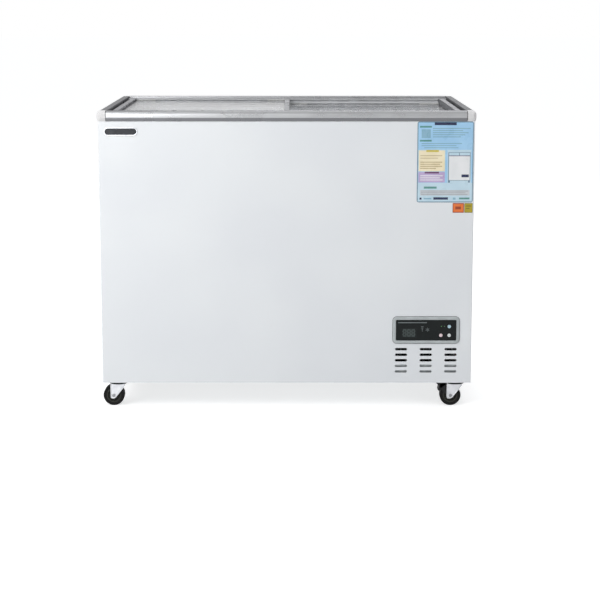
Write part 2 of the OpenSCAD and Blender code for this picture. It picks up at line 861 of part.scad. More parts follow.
module condenser_fins() {
    pitch = 2 * cond_half / (fin_count - 1);
    color("lightgray") difference() {
        for (k = [0 : fin_count - 1]) {
            low = k == 0 || k == fin_count - 1 ? pan_z : pan_z + 8;
            x = cond_x - cond_half + k * pitch;
            block([x - 0.5, cond_y - cond_d / 2, low], [x + 0.5, cond_y + cond_d / 2, cond_top]);
        }
        for (k = [0 : cond_runs - 1]) {
            translate([cond_x - cond_half - 5, cond_y, cond_z(k)]) rotate([0, 90, 0]) {
                cylinder(h = 2 * cond_half + 10, r = cond_r + 0.05);
            }
        }
    }
}
cond_end = cond_half + 6;
module condenser_tube() {
    color("peru") {
        for (k = [0 : cond_runs - 1]) {
            translate([cond_x - cond_end, cond_y, cond_z(k)]) rotate([0, 90, 0]) {
                cylinder(h = 2 * cond_end, r = cond_r);
            }
        }
        for (k = [0 : cond_runs - 2]) {
            side = k % 2 == 0 ? 1 : -1;
            translate([cond_x + side * cond_end, cond_y, cond_z(k) + cond_step / 2]) {
                rotate([90, side * 90, 0]) rotate_extrude(angle = 180) {
                    translate([cond_step / 2, 0]) circle(cond_r);
                }
            }
        }
    }
}
module fan_shroud() {
    ring = fan_d / 2 + shroud_gap;
    side = ring + shroud_side;
    color("dimgray") translate([cond_x, 0, 0]) difference() {
        union() {
            block([-side, shroud_y, pan_z], [side, shroud_y + shroud_t, fan_z + ring + shroud_side / 2]);
            translate([0, 0, fan_z]) forward_cylinder(shroud_y, shroud_y + shroud_depth, ring + shroud_t);
        }
        translate([0, 0, fan_z]) forward_cylinder(shroud_y - 1, shroud_y + shroud_depth + 1, ring);
    }
}
module fan_motor() {
    arm = fan_d / 2 + strut_out;
    body_y = motor_y + strut_t;
    color("#404040") translate([cond_x, 0, fan_z]) difference() {
        union() {
            block([-arm, motor_y, -strut_half], [arm, body_y, strut_half]);
            for (s = [-1, 1]) {
                block([s * arm - 5, shroud_y + shroud_t, -strut_half], [s * arm + 5, body_y, strut_half]);
            }
            forward_cylinder(body_y, body_y + motor_len, motor_r);
            forward_cylinder(body_y + motor_len, body_y + motor_len + motor_cap_len, motor_cap_r);
        }
        forward_cylinder(motor_y - 1, body_y + motor_len - 5, pin_d / 2 + pin_gap);
    }
}
module fan_blades() {
    color("#505050") translate([cond_x, fan_y, fan_z]) {
        forward_cylinder(-hub_half, hub_half, hub_r);
        forward_cylinder(hub_half - 1, motor_y - fan_y + motor_len - 7, pin_d / 2);
        for (k = [0 : 4]) rotate([0, k * 72, 0]) translate([0, 0, blade_root]) rotate([0, 0, 25]) {
            translate([-blade_chord / 2, -shroud_t / 2, 0]) {
                cube([blade_chord, shroud_t, fan_d / 2 - blade_root - 2]);
            }
        }
    }
}
module filter_drier() {
    color("peru") translate([drier_x, drier_y, drier_z]) {
        cone = drier_end + drier_neck;
        rotate_extrude() polygon([
            [0, 0], [pipe_r + 1, 0], [pipe_r + 1, drier_end], [drier_r, cone],
            [drier_r, cone + drier_body], [pipe_r + 1, cone + drier_body + drier_neck],
            [pipe_r + 1, drier_len], [0, drier_len]
        ]);
    }
}
comp_out = [comp_x, comp_y - comp_d / 2 - 20, comp_z + 75];
comp_in = [comp_x - comp_d / 2 - 20, comp_y, comp_z + 60];
module cooling_pipes() {
    side_x = cond_x + cond_end + 8;
    color("peru") {
        pipe([
            comp_out, comp_out - [0, 25, 0], [side_x, comp_out[1] - 25, comp_out[2]],
            [side_x, comp_out[1] - 25, cond_z(0)], [side_x, cond_y, cond_z(0)],
            [cond_x + cond_end, cond_y, cond_z(0)]
        ], pipe_r);
        left = cond_x - cond_end - 6;
        pipe([
            [cond_x - cond_end, cond_y, cond_z(0)], [left, cond_y, cond_z(0)],
            [left, drier_y, cond_z(0)], [drier_x, drier_y, cond_z(0)], [drier_x, drier_y, drier_z + 2]
        ], pipe_r);
        pipe([
            [drier_x, drier_y, drier_z + drier_len - 2], [drier_x, drier_y, bay_z - 30], [evap_in_x, drier_y, bay_z - 30],
            [evap_in_x, evap_y, bay_z - 30], [evap_in_x, evap_y, bay_z - 18]
        ], pipe_r);
        pipe([
            comp_in, comp_in - [12, 0, 0], [comp_in[0] - 12, comp_y, bay_z - 44],
            [comp_in[0] - 12, suction_y, bay_z - 44], [suction_x, suction_y, bay_z - 44],
            [suction_x, suction_y, bay_z - 18]
        ], pipe_r);
    }
}
module rear_grille() {
    rows = floor((grille_h / 2 - grille_edge) / grille_slot_step - 0.5);
    color("lightgray") along_y(half_d, half_d + grille_t) difference() {
        translate([grille_x - grille_w / 2, grille_z - grille_h / 2]) square([grille_w, grille_h]);
        for (c = [-1, 1], k = [-rows : rows]) {
            x = grille_x + c * (grille_slot_len / 2 + grille_slot_step / 2 - 1.5);
            translate([x, grille_z + k * grille_slot_step]) slot_2d(grille_slot_len, grille_slot_h);
        }
        grille_screw_places() circle(screw_r + 0.1);
    }
}
module fasteners() {
    color("silver") {
        face = half_d + grille_t;
        for (sx = [-1, 1], sz = [-1, 1]) {
            x = grille_x + sx * (grille_w / 2 - screw_in);
            z = grille_z + sz * (grille_h / 2 - screw_in);
            translate([x, 0, z]) {
                forward_cylinder(face, face + screw_head_h, screw_head_r);
                forward_cylinder(half_d - sheet_t - screw_end, face, screw_r);
            }
        }
        caster_bolt_places() {
            translate([0, 0, caster_h - bolt_head_h]) cylinder(h = bolt_head_h, r = bolt_head_r);
            translate([0, 0, caster_h]) cylinder(h = plate_t + runner_t + sheet_t + bolt_end, r = bolt_r);
        }
    }
}
module cord_gland() {
    color("#202020") translate([gland_x, 0, gland_z]) difference() {
        union() {
            forward_cylinder(half_d - sheet_t - 10, half_d, gland_r - 0.1);
            forward_cylinder(half_d, half_d + 3, gland_flange);
            forward_cylinder(half_d - sheet_t - 6, half_d - sheet_t, gland_flange);
        }
        forward_cylinder(half_d - sheet_t - 11, half_d + 4, gland_bore);
    }
}

// Casters, drawn with the swivel axis at the origin and the wheel trailing towards -X
module caster_plates() {
    color("silver") at_corners(swivel_x, swivel_y) {
        difference() {
            translate([0, 0, caster_h]) linear_extrude(plate_t) {
                round_rect([-plate_w / 2, -plate_w / 2], [plate_w / 2, plate_w / 2], 6);
            }
            at_corners(bolt_at, bolt_at) {
                translate([0, 0, caster_h - 1]) cylinder(h = plate_t + 2, r = bolt_r + slide_gap);
            }
        }
        translate([0, 0, crown_low - 3.5]) cylinder(h = caster_h - crown_low + 4, r = pin_d / 2);
        translate([0, 0, crown_low - 3.5]) cylinder(h = 3.2, r = pin_d / 2 + 3);
    }
}
module leg_2d(back_x) {
    tip_r = 9.5;
    top = crown_low + 2;
    front_x = crown_r - 1.5;
    translate([-trail, axle_z]) circle(tip_r);
    difference() {
        polygon([
            [-trail - tip_r, axle_z], [back_x, caster_h - 24], [back_x, top], [front_x, top],
            [front_x, caster_h - 14], [-trail + tip_r * 0.9, axle_z - 3]
        ]);
        translate([-trail - tip_r - 1, axle_z - 10]) square([0.5, 10]);
    }
}
module fork(back_x) {
    difference() {
        union() {
            translate([0, 0, crown_low]) rotate_extrude() polygon([
                [0, 0], [crown_r, 0], [crown_r, 3], [crown_r - 4, 6], [12, 8.6], [0, 8.6]
            ]);
            for (s = [-1, 1]) along_y(s > 0 ? leg_in : -leg_out, s > 0 ? leg_out : -leg_in) leg_2d(back_x);
            block([-crown_r + 1.5, -leg_out, crown_low], [crown_r - 1.5, leg_out, crown_low + 2]);
        }
        translate([0, 0, crown_low - 1]) cylinder(h = 12, r = pin_d / 2 + pin_gap);
        translate([-trail, 0, axle_z]) forward_cylinder(-leg_out - 1, leg_out + 1, pin_d / 2 + 0.02);
    }
    translate([-trail, 0, axle_z]) {
        forward_cylinder(-leg_out - 1.5, leg_out + 1.5, pin_d / 2);
        for (s = [-1, 1]) {
            translate([0, s * (leg_out + 1.8), 0]) rotate([90, 30, 0]) {
                cylinder(h = 3.6, r = pin_d / 2 + 3, $fn = 6, center = true);
            }
        }
    }
}
module wheel_core() {
    color("#3c3c3e") translate([-trail, 0, axle_z]) rotate([90, 0, 0]) difference() {
        rotate_extrude() {
            half = wheel_w / 2 - 1;
            translate([0, -half - 2]) square([pin_d / 2 + 2, 2 * half + 4]);
            translate([0, -half]) square([pin_d / 2 + 5, 2 * half]);
            translate([0, -5]) square([core_d / 2 - 4, 10]);
            translate([core_d / 2 - 5, -half]) square([5, 2 * half]);
        }
        cylinder(h = wheel_w + 10, r = pin_d / 2 + pin_gap, center = true);
    }
}
module wheel_tyre() {
    color("#141414") translate([-trail, 0, axle_z]) rotate([90, 0, 0]) rotate_extrude() difference() {
        r = wheel_d / 2;
        edge = 4;
        union() {
            translate([core_d / 2, -wheel_w / 2]) square([r - edge - core_d / 2, wheel_w]);
            translate([core_d / 2, -wheel_w / 2 + edge]) square([r - core_d / 2, wheel_w - 2 * edge]);
            for (s = [-1, 1]) translate([r - edge, s * (wheel_w / 2 - edge)]) circle(edge);
        }
        translate([0, -wheel_w]) square([core_d / 2, 2 * wheel_w]);
    }
}
plain_back = -trail - 9.5;
brake_back = brake_pivot[0] - 4;
module caster_fork(sx, sy, back_x) {
    color("silver") translate([sx * swivel_x, sy * swivel_y, 0]) fork(back_x);
}
module front_left_fork() {
    caster_fork(-1, -1, plain_back);
}
module rear_left_fork() {
    caster_fork(-1, 1, plain_back);
}
module rear_right_fork() {
    caster_fork(1, 1, plain_back);
}
module front_right_fork() {
    difference() {
        caster_fork(1, -1, brake_back);
        translate([swivel_x + brake_pivot[0], -swivel_y, brake_pivot[1]]) {
            forward_cylinder(-leg_out - 1, leg_out + 1, 2 + pin_gap);
        }
    }
}
module front_left_core() {
    translate([-swivel_x, -swivel_y, 0]) wheel_core();
}
module front_left_tyre() {
    translate([-swivel_x, -swivel_y, 0]) wheel_tyre();
}
module front_right_core() {
    translate([swivel_x, -swivel_y, 0]) wheel_core();
}
module front_right_tyre() {
    translate([swivel_x, -swivel_y, 0]) wheel_tyre();
}
module rear_left_core() {
    translate([-swivel_x, swivel_y, 0]) wheel_core();
}
module rear_left_tyre() {
    translate([-swivel_x, swivel_y, 0]) wheel_tyre();
}
module rear_right_core() {
    translate([swivel_x, swivel_y, 0]) wheel_core();
}
module rear_right_tyre() {
    translate([swivel_x, swivel_y, 0]) wheel_tyre();
}
module brake_pedal() {
    r = wheel_d / 2 + 3.5;
    color("#181818") translate([swivel_x, -swivel_y, 0]) {
        along_y(-leg_in + slide_gap, leg_in - slide_gap) difference() {
            polygon([
                [-23.5, caster_h - 12], [-25, caster_h - 6.5], [-44, caster_h - 5.5], [-60, caster_h + 1],
                [-61, caster_h - 3], [-48, caster_h - 15], [-51, caster_h - 29], [-44, caster_h - 32]
            ]);
            translate([-trail, axle_z]) circle(r);
        }
        translate([brake_pivot[0], 0, brake_pivot[1]]) forward_cylinder(-leg_out - 1, leg_out + 1, 2);
    }
}

front_panel();
left_side_panel();
right_side_panel();
back_panel();
base_pan();
base_runners();
insulation();
inner_liner();
bay_divider();
drain_tube();
drain_plug();
evaporator_coil();
front_rail();
back_rail();
side_rails();
corner_caps();
left_lid_glass();
left_lid_profiles();
left_lid_glides();
right_lid_glass();
right_lid_profiles();
right_lid_glides();
control_bezel();
control_fascia();
control_box();
control_board();
display_window();
indicator_lamps();
power_button();
up_button();
down_button();
badge_plate();
front_labels();
compressor();
compressor_grommets();
terminal_cover();
condenser_fins();
condenser_tube();
fan_shroud();
fan_motor();
fan_blades();
filter_drier();
cooling_pipes();
rear_grille();
fasteners();
cord_gland();
caster_plates();
front_left_fork();
front_left_core();
front_left_tyre();
front_right_fork();
front_right_core();
front_right_tyre();
rear_left_fork();
rear_left_core();
rear_left_tyre();
rear_right_fork();
rear_right_core();
rear_right_tyre();
brake_pedal();
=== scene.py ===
"""Display freezer with two sliding glass lids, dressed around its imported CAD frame.

Laid out as an add-on and run as a script. Metres, +Z up, front towards -Y.
"""

import math

import bmesh
import bpy
from mathutils import Matrix, Vector


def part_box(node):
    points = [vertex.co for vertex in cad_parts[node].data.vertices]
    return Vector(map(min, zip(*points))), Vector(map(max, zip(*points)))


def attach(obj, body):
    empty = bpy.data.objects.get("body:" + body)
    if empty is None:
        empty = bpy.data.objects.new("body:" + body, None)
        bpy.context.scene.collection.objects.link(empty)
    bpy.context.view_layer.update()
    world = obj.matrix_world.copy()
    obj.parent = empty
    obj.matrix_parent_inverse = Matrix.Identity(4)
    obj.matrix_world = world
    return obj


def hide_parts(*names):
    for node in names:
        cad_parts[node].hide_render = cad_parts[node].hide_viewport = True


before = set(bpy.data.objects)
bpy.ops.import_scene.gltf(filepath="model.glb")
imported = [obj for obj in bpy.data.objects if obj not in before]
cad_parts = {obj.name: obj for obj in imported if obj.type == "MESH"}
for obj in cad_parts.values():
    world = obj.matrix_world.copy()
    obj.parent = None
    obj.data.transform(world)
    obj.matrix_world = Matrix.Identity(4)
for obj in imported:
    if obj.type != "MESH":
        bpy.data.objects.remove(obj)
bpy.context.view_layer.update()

bl_info = {
    "name": "Display freezer",
    "version": (1, 0, 0),
    "blender": (4, 5, 0),
    "location": "3D View > Sidebar > Freezer",
    "description": "Dresses a display freezer: rim, lids, control panel, labels, casters and stage",
    "category": "Object",
}

MM = 0.001
NEAR = 0.01 * MM
# The rim's band inwards from its outer edge, where the corner caps end, and how far a wheel trails its swivel
RIM_BAND, TRAIL = 27 * MM, 14 * MM
CORNERS = ("front_left", "front_right", "rear_left", "rear_right")
X, Y, Z = Vector((1, 0, 0)), Vector((0, 1, 0)), Vector((0, 0, 1))


# Colours and finishes


def linear(code):
    """sRGB hex code to a linear colour."""
    parts = [int(code[i : i + 2], 16) / 255 for i in (1, 3, 5)]
    return tuple(p / 12.92 if p <= 0.04045 else ((p + 0.055) / 1.055) ** 2.4 for p in parts) + (1.0,)


def node(tree, kind, sockets=None, **settings):
    """Adds a node with its settings. sockets holds inputs by name or number: values, or outputs to link."""
    made = tree.nodes.new("ShaderNode" + kind)
    for name, value in settings.items():
        setattr(made, name, value)
    for key, value in (sockets or {}).items():
        if isinstance(value, bpy.types.NodeSocket):
            tree.links.new(value, made.inputs[key])
        else:
            made.inputs[key].default_value = value
    return made


class Finish:
    """One material: a Principled shader, its colour, gloss and relief built from patterns in mm."""

    def __init__(self, name, colour, rough, metallic=0.0, **shader):
        self.material = bpy.data.materials.new(name)
        self.material.use_nodes = True
        self.tree = self.material.node_tree
        self.tree.nodes.clear()
        self.shader = node(self.tree, "BsdfPrincipled", {
            "Base Color": linear(colour), "Roughness": rough, "Metallic": metallic, **shader,
        })
        self.place = node(self.tree, "TexCoord").outputs["Object"]
        self.output = node(self.tree, "OutputMaterial", {"Surface": self.shader.outputs[0]})
        self.height = None

    def patches(self, size, stretch=(1, 1, 1), detail=2.0):
        """Soft patches about size mm across, longer along a stretched axis."""
        scale = [1 / (size * MM * s) for s in stretch]
        spread = node(self.tree, "Mapping", {"Vector": self.place, "Scale": scale})
        sockets = {"Vector": spread.outputs[0], "Scale": 1.0, "Detail": detail}
        return node(self.tree, "TexNoise", sockets).outputs["Fac"]

    def cells(self, size, output="Distance", feature="F1"):
        """Cells about size mm across."""
        spread = node(self.tree, "Mapping", {"Vector": self.place, "Scale": [1 / (size * MM)] * 3})
        sockets = {"Vector": spread.outputs[0], "Scale": 1.0}
        return node(self.tree, "TexVoronoi", sockets, feature=feature).outputs[output]

    def layer(self, factor, code, most=1.0, start=0.35, end=0.65):
        """Lays a colour over what is painted, by up to most as factor runs from start to end."""
        share = node(self.tree, "MapRange", {
            "Value": factor, "From Min": start, "From Max": end, "To Min": 0.0, "To Max": most,
        })
        base = self.shader.inputs["Base Color"]
        under = base.links[0].from_socket if base.is_linked else tuple(base.default_value)
        mixed = node(self.tree, "Mix", {0: share.outputs[0], 6: under, 7: linear(code)}, data_type="RGBA")
        self.tree.links.new(mixed.outputs[2], base)

    def gloss(self, factor, low, high):
        """Roughness from low to high over the pattern."""
        rough = node(self.tree, "MapRange", {
            "Value": factor, "From Min": 0.35, "From Max": 0.65, "To Min": low, "To Max": high,
        })
        self.tree.links.new(rough.outputs[0], self.shader.inputs["Roughness"])

    def relief(self, factor, height):
        """Raises the surface by height mm where factor is 1. Reliefs add up."""
        sockets = {"Height": factor, "Distance": height * MM, "Strength": 1.0}
        if self.height is not None:
            sockets["Normal"] = self.height
        self.height = node(self.tree, "Bump", sockets).outputs["Normal"]
        self.tree.links.new(self.height, self.shader.inputs["Normal"])


finishes = {}


def painted_sheet(name, colour, shade):
    """Coil-coated steel sheet: flat white paint with a faint orange peel that softens its highlights."""
    made = Finish(name, colour, 0.38)
    made.layer(made.patches(260, detail=1.0), shade)
    made.gloss(made.patches(60), 0.34, 0.44)
    made.relief(made.patches(3.0, detail=1.0), 0.012)
    return made


def drawn_aluminium(name, colour, shade, stretch, edge="#8c8c8e"):
    """Silver anodised extrusion: satin, with fine die lines. Its oxide layer dulls it at a flat angle."""
    made = Finish(name, colour, 0.34, 1.0, **{"Specular Tint": linear(edge)})
    lines = made.patches(1.6, stretch, 3.0)
    made.layer(lines, shade)
    made.gloss(made.patches(45, detail=1.0), 0.26, 0.34)
    made.relief(lines, 0.02)
    return made


def moulded(name, colour, shade, rough, mirror=0.5, grain=0.9, depth=0.02, **shader):
    """Injection moulded plastic: even colour, fine spark grain, a little shinier where it is handled."""
    made = Finish(name, colour, rough, **{"Specular IOR Level": mirror, **shader})
    made.layer(made.patches(30, detail=1.0), shade)
    made.gloss(made.patches(18), rough - 0.05, rough + 0.06)
    made.relief(made.patches(grain, detail=1.0), depth)
    return made


def zinc(name, colour, shade, rough):
    """Zinc plated or hot-dip coated steel: crystals of different greys, and dull bloom in patches."""
    made = Finish(name, colour, rough, 1.0)
    made.layer(made.cells(9, output="Color"), shade, 1.0, 0.0, 1.0)
    made.gloss(made.patches(14), rough - 0.08, rough + 0.12)
    made.relief(made.patches(1.2), 0.01)
    return made


def printed(name, colour, shade):
    """Printed film: flat ink with a soft gloss and a faint lift where the film didn't lie down."""
    made = Finish(name, colour, 0.3)
    made.layer(made.patches(40, detail=1.0), shade)
    made.gloss(made.patches(25), 0.26, 0.36)
    made.relief(made.patches(12, detail=1.0), 0.02)
    return made


# Moulded, cast and lacquered: key, name, colour, shade, roughness, then mirror level, grain and relief in mm
MOULDED = (
    # PVC strip pushed into the rails: pale and dull, so the channel is lighter than the metal round it
    ("rim_channel", "Grey PVC slide channel", "#cdced0", "#c4c5c7", 0.5),
    # ABS from a spark eroded mould: broad, weak highlights
    ("cap", "Moulded corner cap", "#e2e1e1", "#dad9d9", 0.45, 0.3),
    # Nylon looks waxy and a little yellow
    ("nylon", "White nylon", "#e4e4df", "#d8d8d2", 0.45),
    # Flake lacquer sprayed on ABS: silky grey without a clear mirror image
    ("bezel", "Silver lacquered ABS", "#b9bfc0", "#aeb4b5", 0.4, 0.3, 0.5, 0.006),
    # Cast acrylic: deep black gloss, only faintly wavy
    ("fascia", "Gloss black acrylic", "#121818", "#0f1414", 0.14, 0.16, 60, 0.004),
    # Screen printed ink lies dull on the acrylic
    ("fascia_ink", "Grey screen ink", "#6d7475", "#656b6c", 0.4, 0.2),
    # Smoked acrylic: a touch paler than the fascia, as light comes back from behind it
    ("window", "Smoked display window", "#1a2020", "#161b1b", 0.12, 0.16, 60, 0.003),
    # The unlit display's resin, and its segments, just paler
    ("digit_face", "Display face", "#2d3433", "#282e2d", 0.35, 0.2),
    ("digit", "Display segment", "#474f4e", "#404847", 0.35, 0.2),
    # Black polypropylene: satin, never quite black in the light
    ("dark", "Black polypropylene", "#151617", "#101112", 0.5, 0.25),
    # Solder mask over glass fibre: dark green half gloss
    ("board", "Circuit board laminate", "#1d4a30", "#173c27", 0.4),
    # Push buttons moulded in milky tinted resin, polished by fingers
    ("button_blue", "Button blue-white", "#bcd8e2", "#aeccd7", 0.3),
    ("button_white", "Button white", "#dde3e2", "#d0d6d5", 0.3),
    ("button_pink", "Button pink-white", "#e6d2d6", "#dbc5ca", 0.3),
    # Lacquer poured in the badge: dark, level gloss
    ("badge_face", "Badge gloss black", "#1f2329", "#191d22", 0.2, 0.2, 40, 0.004),
    # Stove enamel on pressed steel: black with a coarse orange peel
    ("black_steel", "Black stove enamel on steel", "#1b1c1e", "#141517", 0.35, 0.5, 2.5, 0.03),
    # Extruded rubber: flat black that hardly shines
    ("rubber", "Black rubber", "#1a1a1a", "#131313", 0.7),
    # Filled polyamide: brownish dark grey and dull
    ("core", "Grey polyamide core", "#343530", "#2a2b27", 0.5, 0.2),
)

# Film label inks: key, colour, shade
LABEL_INKS = (
    ("sky", "#a9d4f2", "#9fcbeb"), ("pale", "#c8e0ec", "#bed8e6"), ("frame", "#6f8ea3", "#66859a"),
    ("navy", "#16264f", "#101d42"), ("steel", "#8db7cb", "#84aec3"), ("teal", "#5f9a94", "#558f89"),
    ("cream", "#f6ebcc", "#efe2bf"), ("sand", "#cdbb90", "#c3b086"), ("lilac", "#c3b0d6", "#baa6cd"),
    ("plum", "#6b3f66", "#603659"), ("white", "#f0f1f2", "#e7e9ea"), ("grey", "#a9adb3", "#a0a4aa"),
    ("mist", "#ccd3d8", "#c3cacf"), ("gold", "#d8c653", "#cdbb48"), ("orange", "#ef7f3c", "#e67431"),
    ("rust", "#a5431a", "#993b14"), ("olive", "#b8a52a", "#ac9a22"), ("moss", "#82791c", "#787017"),
)


def make_finishes():
    """All the materials, named for what the real ones are."""
    make_sheets()
    make_metals()
    for key, *settings in MOULDED:
        finishes[key] = moulded(*settings)
    for key, colour, shade in LABEL_INKS:
        finishes["ink_" + key] = printed("Label " + key, colour, shade)
    # Diffused LED resin: green and milky, with a trace of its own light
    finishes["lamp"] = moulded("Green diffused LED", "#3f6b3c", "#386038", 0.25, **{
        "Emission Color": linear("#4fae52"), "Emission Strength": 0.05, "Coat Weight": 0.4,
    })
    # Tread rubber: matt, a little dusty where it meets the floor
    tread = moulded("Thermoplastic rubber tread", "#0d0d0d", "#090909", 0.65, 0.15, 1.4, 0.05)
    tread.layer(tread.patches(5), "#45433f", 0.12, 0.5, 0.8)
    # Sprayed polyurethane foam: yellow, dull and full of bubbles, seen only where the shell is open
    foam = Finish("Polyurethane foam", "#d8c98f", 0.9)
    foam.layer(foam.patches(6), "#cbb97a")
    foam.relief(foam.cells(2.0), 0.4)
    finishes.update(tread=tread, foam=foam, glass=tempered_glass())


def make_sheets():
    """Painted sheets: the cabinet, its inner tub and the grille."""
    colours = bpy.context.scene.freezer_colours
    # The tub's stucco embossing of about 5 mm scatters the light
    liner = painted_sheet("Embossed liner sheet", "#eceff0", "#e3e7e9")
    liner.relief(liner.cells(5.0, feature="SMOOTH_F1"), 0.25)
    finishes.update(
        painted_sheet=painted_sheet("Coil-coated steel", colours.sheet, colours.sheet_shade),
        liner_sheet=liner,
        grille=painted_sheet("Grey coated grille", "#c2c6c8", "#b9bdbf"),
    )


def make_metals():
    """Extrusions, plated steel, chrome and copper."""
    colours = bpy.context.scene.freezer_colours
    # Bright plating over moulded plastic: mirror-like, a little duller in patches
    chrome = Finish("Chromed ABS", "#b3b5b8", 0.14, 1.0)
    chrome.layer(chrome.patches(20, detail=1.0), "#a9abaf")
    chrome.gloss(chrome.patches(12), 0.1, 0.2)
    # Drawn copper, tarnished in patches since it was brazed
    copper = Finish("Drawn copper", "#b8744a", 0.34, 1.0)
    copper.layer(copper.patches(22), "#8f5234")
    copper.gloss(copper.patches(9), 0.28, 0.5)
    finishes.update(
        chrome=chrome,
        copper=copper,
        rim_x=drawn_aluminium("Anodised rail", colours.rim, colours.rim_shade, (220, 1, 1)),
        rim_y=drawn_aluminium("Anodised side rail", colours.rim, colours.rim_shade, (1, 220, 1)),
        # The skirt under the rim looks down: its darker tone is painted shade
        rim_lip=drawn_aluminium("Anodised rail skirt in painted shade", "#747578", "#6b6c6f", (220, 220, 1), "#6c6c6e"),
        profile=drawn_aluminium("Anodised lid profile", "#dadbde", "#c1c2c5", (1, 220, 1), "#8f8f91"),
        fin=drawn_aluminium("Fin aluminium", "#9b9ea0", "#8b8e90", (1, 1, 60)),
        zinc=zinc("Bright zinc plate", "#cfd0d3", "#bfc1c5", 0.4),
        axle_steel=zinc("Dull bolt steel", "#8d8f91", "#7b7d7f", 0.45),
        galvanised=zinc("Hot-dip galvanised sheet", "#b2b6b8", "#999ea1", 0.42),
    )


def tempered_glass():
    """Tempered float glass: the rollers of the oven leave faint waves along it. Lamps pass it, as through a
    thin pane, and an antireflection coat takes part of the mirror image off."""
    colours = bpy.context.scene.freezer_colours
    glass = Finish("Tempered float glass", colours.glass, 0.03, **{
        "Transmission Weight": 1.0, "IOR": 1.45, "Specular IOR Level": 0.2,
    })
    ray = node(glass.tree, "LightPath")
    share = node(glass.tree, "Math", {0: ray.outputs["Is Shadow Ray"], 1: 0.5}, operation="MAXIMUM")
    clear = node(glass.tree, "BsdfTransparent", {"Color": linear("#ebebec")})
    mixed = node(glass.tree, "MixShader", {
        0: share.outputs[0], 1: glass.shader.outputs[0], 2: clear.outputs[0],
    })
    glass.tree.links.new(mixed.outputs[0], glass.output.inputs["Surface"])
    glass.relief(glass.patches(70, (12, 1, 1), 1.0), 0.05)
    return glass


def on_corners(part):
    """The CAD nodes of that part on all four casters."""
    return " ".join(corner + part for corner in CORNERS)


# Each finish with the CAD nodes that have it
NODES_OF_FINISH = {
    "painted_sheet": "front_panel left_side_panel right_side_panel back_panel",
    "galvanised": "base_pan bay_divider",
    "black_steel": "base_runners compressor condenser_tube",
    "foam": "insulation",
    "liner_sheet": "inner_liner",
    "dark": "drain_tube drain_plug control_box terminal_cover fan_shroud fan_motor fan_blades cord_gland "
            "brake_pedal",
    "copper": "evaporator_coil filter_drier cooling_pipes",
    "rim_x": "front_rail back_rail",
    "rim_y": "side_rails",
    "cap": "corner_caps",
    "glass": "left_lid_glass right_lid_glass",
    "profile": "left_lid_profiles right_lid_profiles",
    "nylon": "left_lid_glides right_lid_glides",
    "bezel": "control_bezel",
    "fascia": "control_fascia",
    "board": "control_board",
    "window": "display_window",
    "lamp": "indicator_lamps",
    "button_blue": "power_button",
    "button_white": "up_button",
    "button_pink": "down_button",
    "chrome": "badge_plate",
    "ink_sky": "front_labels",
    "rubber": "compressor_grommets",
    "fin": "condenser_fins",
    "grille": "rear_grille",
    "zinc": "fasteners caster_plates " + on_corners("_fork"),
    "core": on_corners("_core"),
    "tread": on_corners("_tyre"),
}


# Modelling helpers


def leave_edit():
    """Back to object mode."""
    bpy.ops.object.mode_set(mode="OBJECT")


def deselect():
    """Leaves nothing selected, in object mode."""
    if bpy.context.object and bpy.context.object.mode != "OBJECT":
        leave_edit()
    bpy.ops.object.select_all(action="DESELECT")


def only(piece):
    """Selects this piece alone and makes it active."""
    deselect()
    piece.select_set(True)
    bpy.context.view_layer.objects.active = piece


def settled(name):
    """Names the new primitive and puts its place, turn and size into its mesh."""
    piece = bpy.context.object
    piece.name = piece.data.name = name
    only(piece)
    bpy.ops.object.transform_apply(location=True, rotation=True, scale=True)
    return piece


def block(name, low, high):
    """A box primitive from its lowest to its highest corner."""
    low, high = Vector(low), Vector(high)
    deselect()
    bpy.ops.mesh.primitive_cube_add(size=1, location=(low + high) / 2, scale=high - low)
    return settled(name)


def round_bar(name, origin, axis, start, end, radius, sides=48):
    """A cylinder primitive from start to end along an axis through origin."""
    deselect()
    bpy.ops.mesh.primitive_cylinder_add(
        vertices=sides, radius=radius, depth=abs(end - start), location=origin + axis * ((start + end) / 2),
        rotation=(axis * (end - start)).to_track_quat("Z", "Y").to_euler())
    return settled(name)


def spot(origin, x, y, z):
    """The point that lies x, y and z mm from origin."""
    return origin + Vector((x, y, z)) * MM


def pick(piece, kind, test):
    """In edit mode, selects the piece's vertices, edges or faces that pass test."""
    only(piece)
    bpy.ops.object.mode_set(mode="EDIT")
    bpy.ops.mesh.select_mode(type=kind)
    bpy.ops.mesh.select_all(action="DESELECT")
    shape = bmesh.from_edit_mesh(piece.data)
    for element in {"VERT": shape.verts, "EDGE": shape.edges, "FACE": shape.faces}[kind]:
        if test(element):
            element.select_set(True)
    shape.select_flush_mode()
    bmesh.update_edit_mesh(piece.data)


def middle(element):
    """The middle of an edge or face."""
    return sum((v.co for v in element.verts), Vector()) / len(element.verts)


def runs(edge, axis):
    """True if the edge runs along that axis."""
    span = edge.verts[1].co - edge.verts[0].co
    return abs(span.dot(axis)) > 0.999 * span.length


def looks(face, direction):
    """True if the face looks that way."""
    return face.normal.dot(direction) > 0.9


def faces_ends(face):
    """True for the front and back faces."""
    return abs(face.normal.y) > 0.9


def creased(edge, degrees):
    """True if the edge's two faces meet at more than that."""
    return len(edge.link_faces) == 2 and edge.calc_face_angle(0.0) > math.radians(degrees)


def sharp(edge):
    """True if the edge is about square."""
    return creased(edge, 50)


def at(axis, level):
    """A test that passes what lies at that level along an axis."""
    return lambda element: abs(middle(element).dot(axis) - level) < NEAR


def bevel(piece, width, segments, test):
    """Rounds the edges that pass test."""
    pick(piece, "EDGE", test)
    bpy.ops.mesh.bevel(offset=width, segments=segments, affect="EDGES", clamp_overlap=True)
    bpy.ops.mesh.select_all(action="SELECT")
    bpy.ops.mesh.remove_doubles(threshold=0.005 * MM)
    leave_edit()


